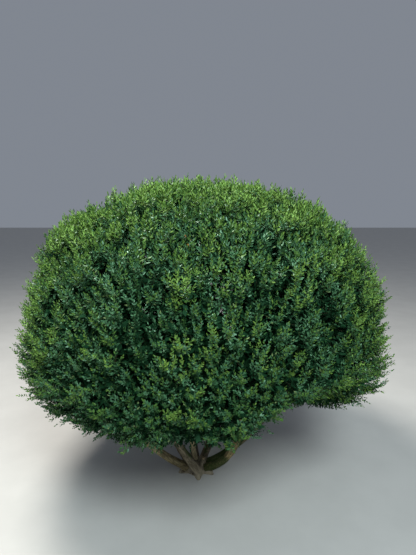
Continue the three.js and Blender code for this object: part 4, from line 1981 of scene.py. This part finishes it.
        # Painted shade: darker on the underside.
        fresh = fresh - self.painted_under_shade * ease(*self.painted_under_shade_edges, elevation)
        # Young growth in the narrow patches, painted light in the broad ones.
        fresh = fresh + total(self.young_and_lit_patches, azimuth, elevation)
        by_branchlet = spread(twigs.spots.parent[tuft], Salt.BRANCHLET_FRESHNESS)
        fresh = fresh + self.branchlet_spread * by_branchlet
        fresh = fresh + self.tuft_spread * spread(tuft, Salt.TUFT_FRESHNESS)
        # Painted shade towards each tuft's edge and in sunken tufts, painted light on proud ones.
        middle, fall = self.tuft_shading
        fresh = fresh + middle - fall * self.off_tuft(shoots.spots, twigs) ** 2
        fresh = fresh + self.proud_shading * (twigs.spots.share[tuft] - self.proud_share)
        return fresh + self.shoot_spread * spread(np.arange(len(azimuth)), Salt.SHOOT_FRESHNESS)

    def deal_tints(self, leaves: Leaves, shoots: Limbs, freshness_and_light: Array) -> None:
        """Deals each leaf its tint by its young growth and painted light, a bluer painted sheen on front
        shoots, and odd leaves.

        Args:
            leaves: The leaves that get their tints.
            shoots: The shoots that they stand on.
            freshness_and_light: Each shoot's score for young growth and painted light.
        """
        leaf = np.arange(len(leaves.fresh))
        fresh = freshness_and_light[leaves.shoot] + leaves.fresh
        fresh = fresh + self.leaf_spread * spread(leaf, Salt.LEAF_FRESHNESS)
        scale = np.array([tint.value for tint in self.tint_steps])
        tint = scale[np.digitize(fresh, self.tint_edges)]
        elevation = shoots.spots.elevation
        # Painted sheen: shoots facing the front, above the underside, may get the bluer sheen tint.
        front = (1 - self.flank(shoots.spots.azimuth)) * ease(*self.sheen_top, elevation)
        front = front * (1 - self.sheen_under * ease(*self.sheen_under_edges, elevation))
        sheen_shoots = chance(np.arange(len(front)), Salt.PAINTED_SHEEN) < between(self.sheen_chance, front)
        deep = tint == Tint.DEEP.value
        tint = np.where(deep & sheen_shoots[leaves.shoot], Tint.PAINTED_SHEEN.value, tint)
        tint = np.where(chance(leaf, Salt.PALE) < self.pale_chance, Tint.PALE.value, tint)
        tint = np.where(chance(leaf, Salt.RUSTY) < self.rusty_chance, Tint.RUSTY.value, tint)
        for odd, turn, climb in self.odd_shoots:
            way = direction(np.radians(turn), np.radians(climb))
            shoot = nearest(way[None], shoots.spots.way())[0]
            some = chance(leaf, Salt.ODD_LEAVES) < self.odd_share
            tint[(leaves.shoot == shoot) & some] = odd.value
        leaves.tint = tint

    def pieces(self, mass: int, kinds: list[tuple[Leaves, Limbs]], blade: Blade) -> Shape:
        """The leaves of one mass and one kind of blade as one shape.

        Args:
            mass: The mass's number.
            kinds: Groups of leaves, each with the shoots that they stand on.
            blade: The blade that they all have.

        Returns:
            The shape, with a tint for each face.
        """
        own = [shoots.spots.mass[leaves.shoot] == mass for leaves, shoots in kinds]
        corners = np.concatenate([leaves.corners[mine] for (leaves, _), mine in zip(kinds, own)])
        tint = np.concatenate([leaves.tint[mine] for (leaves, _), mine in zip(kinds, own)])
        faces = repeated(blade.faces(), len(corners), corners.shape[1])
        return Shape(corners.reshape(-1, 3), [faces], [np.repeat(tint, len(blade.faces()))])

    def stalks(self, mass: int, shoots: list[Limbs]) -> Shape:
        """The woody shoots of one mass as slender spikes.

        Args:
            mass: The mass's number.
            shoots: Groups of shoots.

        Returns:
            The spikes as one shape.
        """
        lines = np.concatenate([limbs.lines(2)[limbs.spots.mass == mass] for limbs in shoots])
        radii = np.full((len(lines), 1), self.shoot_radius)
        shape = pointed_tubes(lines, radii, self.shoot_sides)
        shape.grain = shape.points
        return shape

    def build(self, limbs: list[Limbs], young: bpy.types.Material) -> None:
        """Makes two pieces of leaves and a piece of shoots for each mass.

        The first piece has the leaves near the tips of the outer shoots. The second has those lower on
        the same shoots and the shaded ones on the weak shoots, which share a plainer blade.

        Args:
            limbs: The boughs, branches, branchlets and twigs, with one twig for each tuft.
            young: The shoots' bark.
        """
        materials = [LEAF_FINISHES[tint].material(tint) for tint in Tint]
        twigs = limbs[-1]
        outer = self.outer_shoots(twigs)
        tips = self.leaves_on(outer, self.tip_sprig)
        lower = self.leaves_on(outer, self.low_sprig)
        fresh = self.freshness_and_light(outer, twigs)
        self.deal_tints(tips, outer, self.tip_sprig.lit * fresh)
        # The lower leaves get less of the painted light, which paints shade below the tips.
        self.deal_tints(lower, outer, self.low_sprig.lit * fresh)
        inside = [(lower, outer)]
        for kind, grown in enumerate(reversed(limbs)):
            weak = self.weak_shoots(grown, kind)
            shaded = self.leaves_on(weak, self.shade_sprig)
            # Painted shade: all the weak shoots' leaves get the near-black shaded tint.
            shaded.tint = np.full(len(shaded.fresh), Tint.SHADED.value)
            inside.append((shaded, weak))
        for mass, name in enumerate(self.crown.masses):
            surface = self.pieces(mass, [(tips, outer)], self.tip_sprig.blade)
            depths = self.pieces(mass, inside, self.low_sprig.blade)
            stalks = self.stalks(mass, [shoots for _, shoots in inside])
            pieces = [
                surface.piece(f"leaves_{name}", materials, LEAF_SLOT),
                depths.piece(f"inner_leaves_{name}", materials, LEAF_SLOT),
                stalks.piece(f"shoots_{name}", [young], BARK_SLOT),
            ]
            for piece in pieces:
                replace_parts(piece, f"foliage_{name}")


@dataclass(frozen=True)
class Lamp:
    """A large soft lamp: where it hangs, the length of its sides, its power in watts and its colour."""

    name: str
    place: tuple[float, float, float]
    size: float
    power: float
    tint: Colour


@dataclass
class Studio:
    """A plain pale floor, soft lights and the camera at the photograph's angle."""

    frame_size: tuple[int, int] = (416, 555)
    focal_pixels: float = 416.0
    sensor: float = 36.0
    camera_place: tuple[float, float, float] = (0.0643, -2.2151, 1.5)
    camera_tilt: float = np.radians(9.5)
    floor_half: float = 30.0
    floor_colour: Colour = (0.56, 0.55, 0.53)
    floor_shade: float = 0.94
    floor_mottle: Noise = Noise(3.0, 4.0, 0.6)
    mottle_edges: tuple[float, float] = (0.3, 0.7)
    floor_roughness: float = 0.95
    floor_gloss: float = 0.1
    sky: Colour = (0.78, 0.86, 1.0)
    sky_strength: float = 0.28
    film: str = "Standard"
    far: float = 200.0
    aim: tuple[float, float, float] = (0.0, 0.0, 0.9)
    lamps: tuple[Lamp, ...] = (
        Lamp("Key", (-1.4, 0.3, 4.7), 1.5, 245.0, (1.0, 0.97, 0.90)),
        Lamp("Fill", (1.1, -3.8, 4.2), 1.8, 255.0, (0.86, 0.97, 0.98)),
    )

    def camera(self) -> None:
        """Makes the camera. Its lens gives the focal length in pixels on the picture's long side."""
        data = bpy.data.cameras.new("Camera")
        data.sensor_width = self.sensor
        data.lens = self.sensor * self.focal_pixels / max(self.frame_size)
        data.clip_end = self.far
        camera = bpy.data.objects.new("Camera", data)
        camera.location = self.camera_place
        camera.rotation_euler = (np.pi / 2 - self.camera_tilt, 0.0, 0.0)
        bpy.context.scene.collection.objects.link(camera)
        bpy.context.scene.camera = camera

    def floor(self) -> None:
        """Makes the floor, a large square of plain pale plaster at ground level."""
        half = self.floor_half
        mesh = bpy.data.meshes.new("Floor")
        corners = [(-half, -half, 0.0), (half, -half, 0.0), (half, half, 0.0), (-half, half, 0.0)]
        mesh.from_pydata(corners, [], [(0, 1, 2, 3)])
        material, desk, shader = new_material("Pale floor")
        place = desk.place("ShaderNodeTexCoord").outputs["Object"]
        mottle = desk.ramp(desk.noise(place, self.floor_mottle), *self.mottle_edges)
        darker = rgba(tuple(self.floor_shade * part for part in self.floor_colour))
        looks = {
            "Base Color": desk.mix(mottle, darker, rgba(self.floor_colour)),
            "Roughness": self.floor_roughness,
            "Specular IOR Level": self.floor_gloss,
        }
        desk.feed(shader, looks)
        mesh.materials.append(material)
        floor = bpy.data.objects.new("floor", mesh)
        bpy.context.scene.collection.objects.link(floor)

    def hang(self, lamp: Lamp) -> None:
        """Makes one lamp, which points at the crown.

        Args:
            lamp: The lamp's place, size, power and colour.
        """
        data = bpy.data.lights.new(lamp.name, "AREA")
        data.size = lamp.size
        data.energy = lamp.power
        data.color = lamp.tint
        thing = bpy.data.objects.new(lamp.name, data)
        thing.location = lamp.place
        towards = Vector(self.aim) - Vector(lamp.place)
        thing.rotation_euler = towards.to_track_quat("-Z", "Y").to_euler()
        bpy.context.scene.collection.objects.link(thing)

    def world(self) -> None:
        """Makes the even pale sky."""
        world = bpy.data.worlds.new("Studio")
        world.use_nodes = True
        background = world.node_tree.nodes["Background"]
        background.inputs["Color"].default_value = rgba(self.sky)
        background.inputs["Strength"].default_value = self.sky_strength
        bpy.context.scene.world = world
        bpy.context.scene.view_settings.view_transform = self.film

    def build(self) -> None:
        """Makes the camera, the floor, the sky and the lamps."""
        self.camera()
        self.floor()
        self.world()
        for lamp in self.lamps:
            self.hang(lamp)


def main() -> None:
    """Builds the plant round its frame, then the studio, and logs how many nodes the frame has."""
    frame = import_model()
    Studio().build()
    pattern = BarkPattern().group()
    barks = {finish.name: finish.material(pattern) for finish in BARKS}
    crown = Crown()
    stems = Stems(crown)
    RootCrown().build(stems.feet(), barks[OLD_BARK.name], CutWood().material())
    stems.build(barks)
    work = Branchwork(crown, stems)
    grown = work.grow()
    work.build(grown, barks[BRANCH_BARK.name], barks[TWIG_BARK.name])
    Foliage(crown).build(grown, barks[SHOOT_BARK.name])
    LOG.info("nodes in the frame: %d", len(frame["nodes"]))


if __name__ == "__main__":
    main()
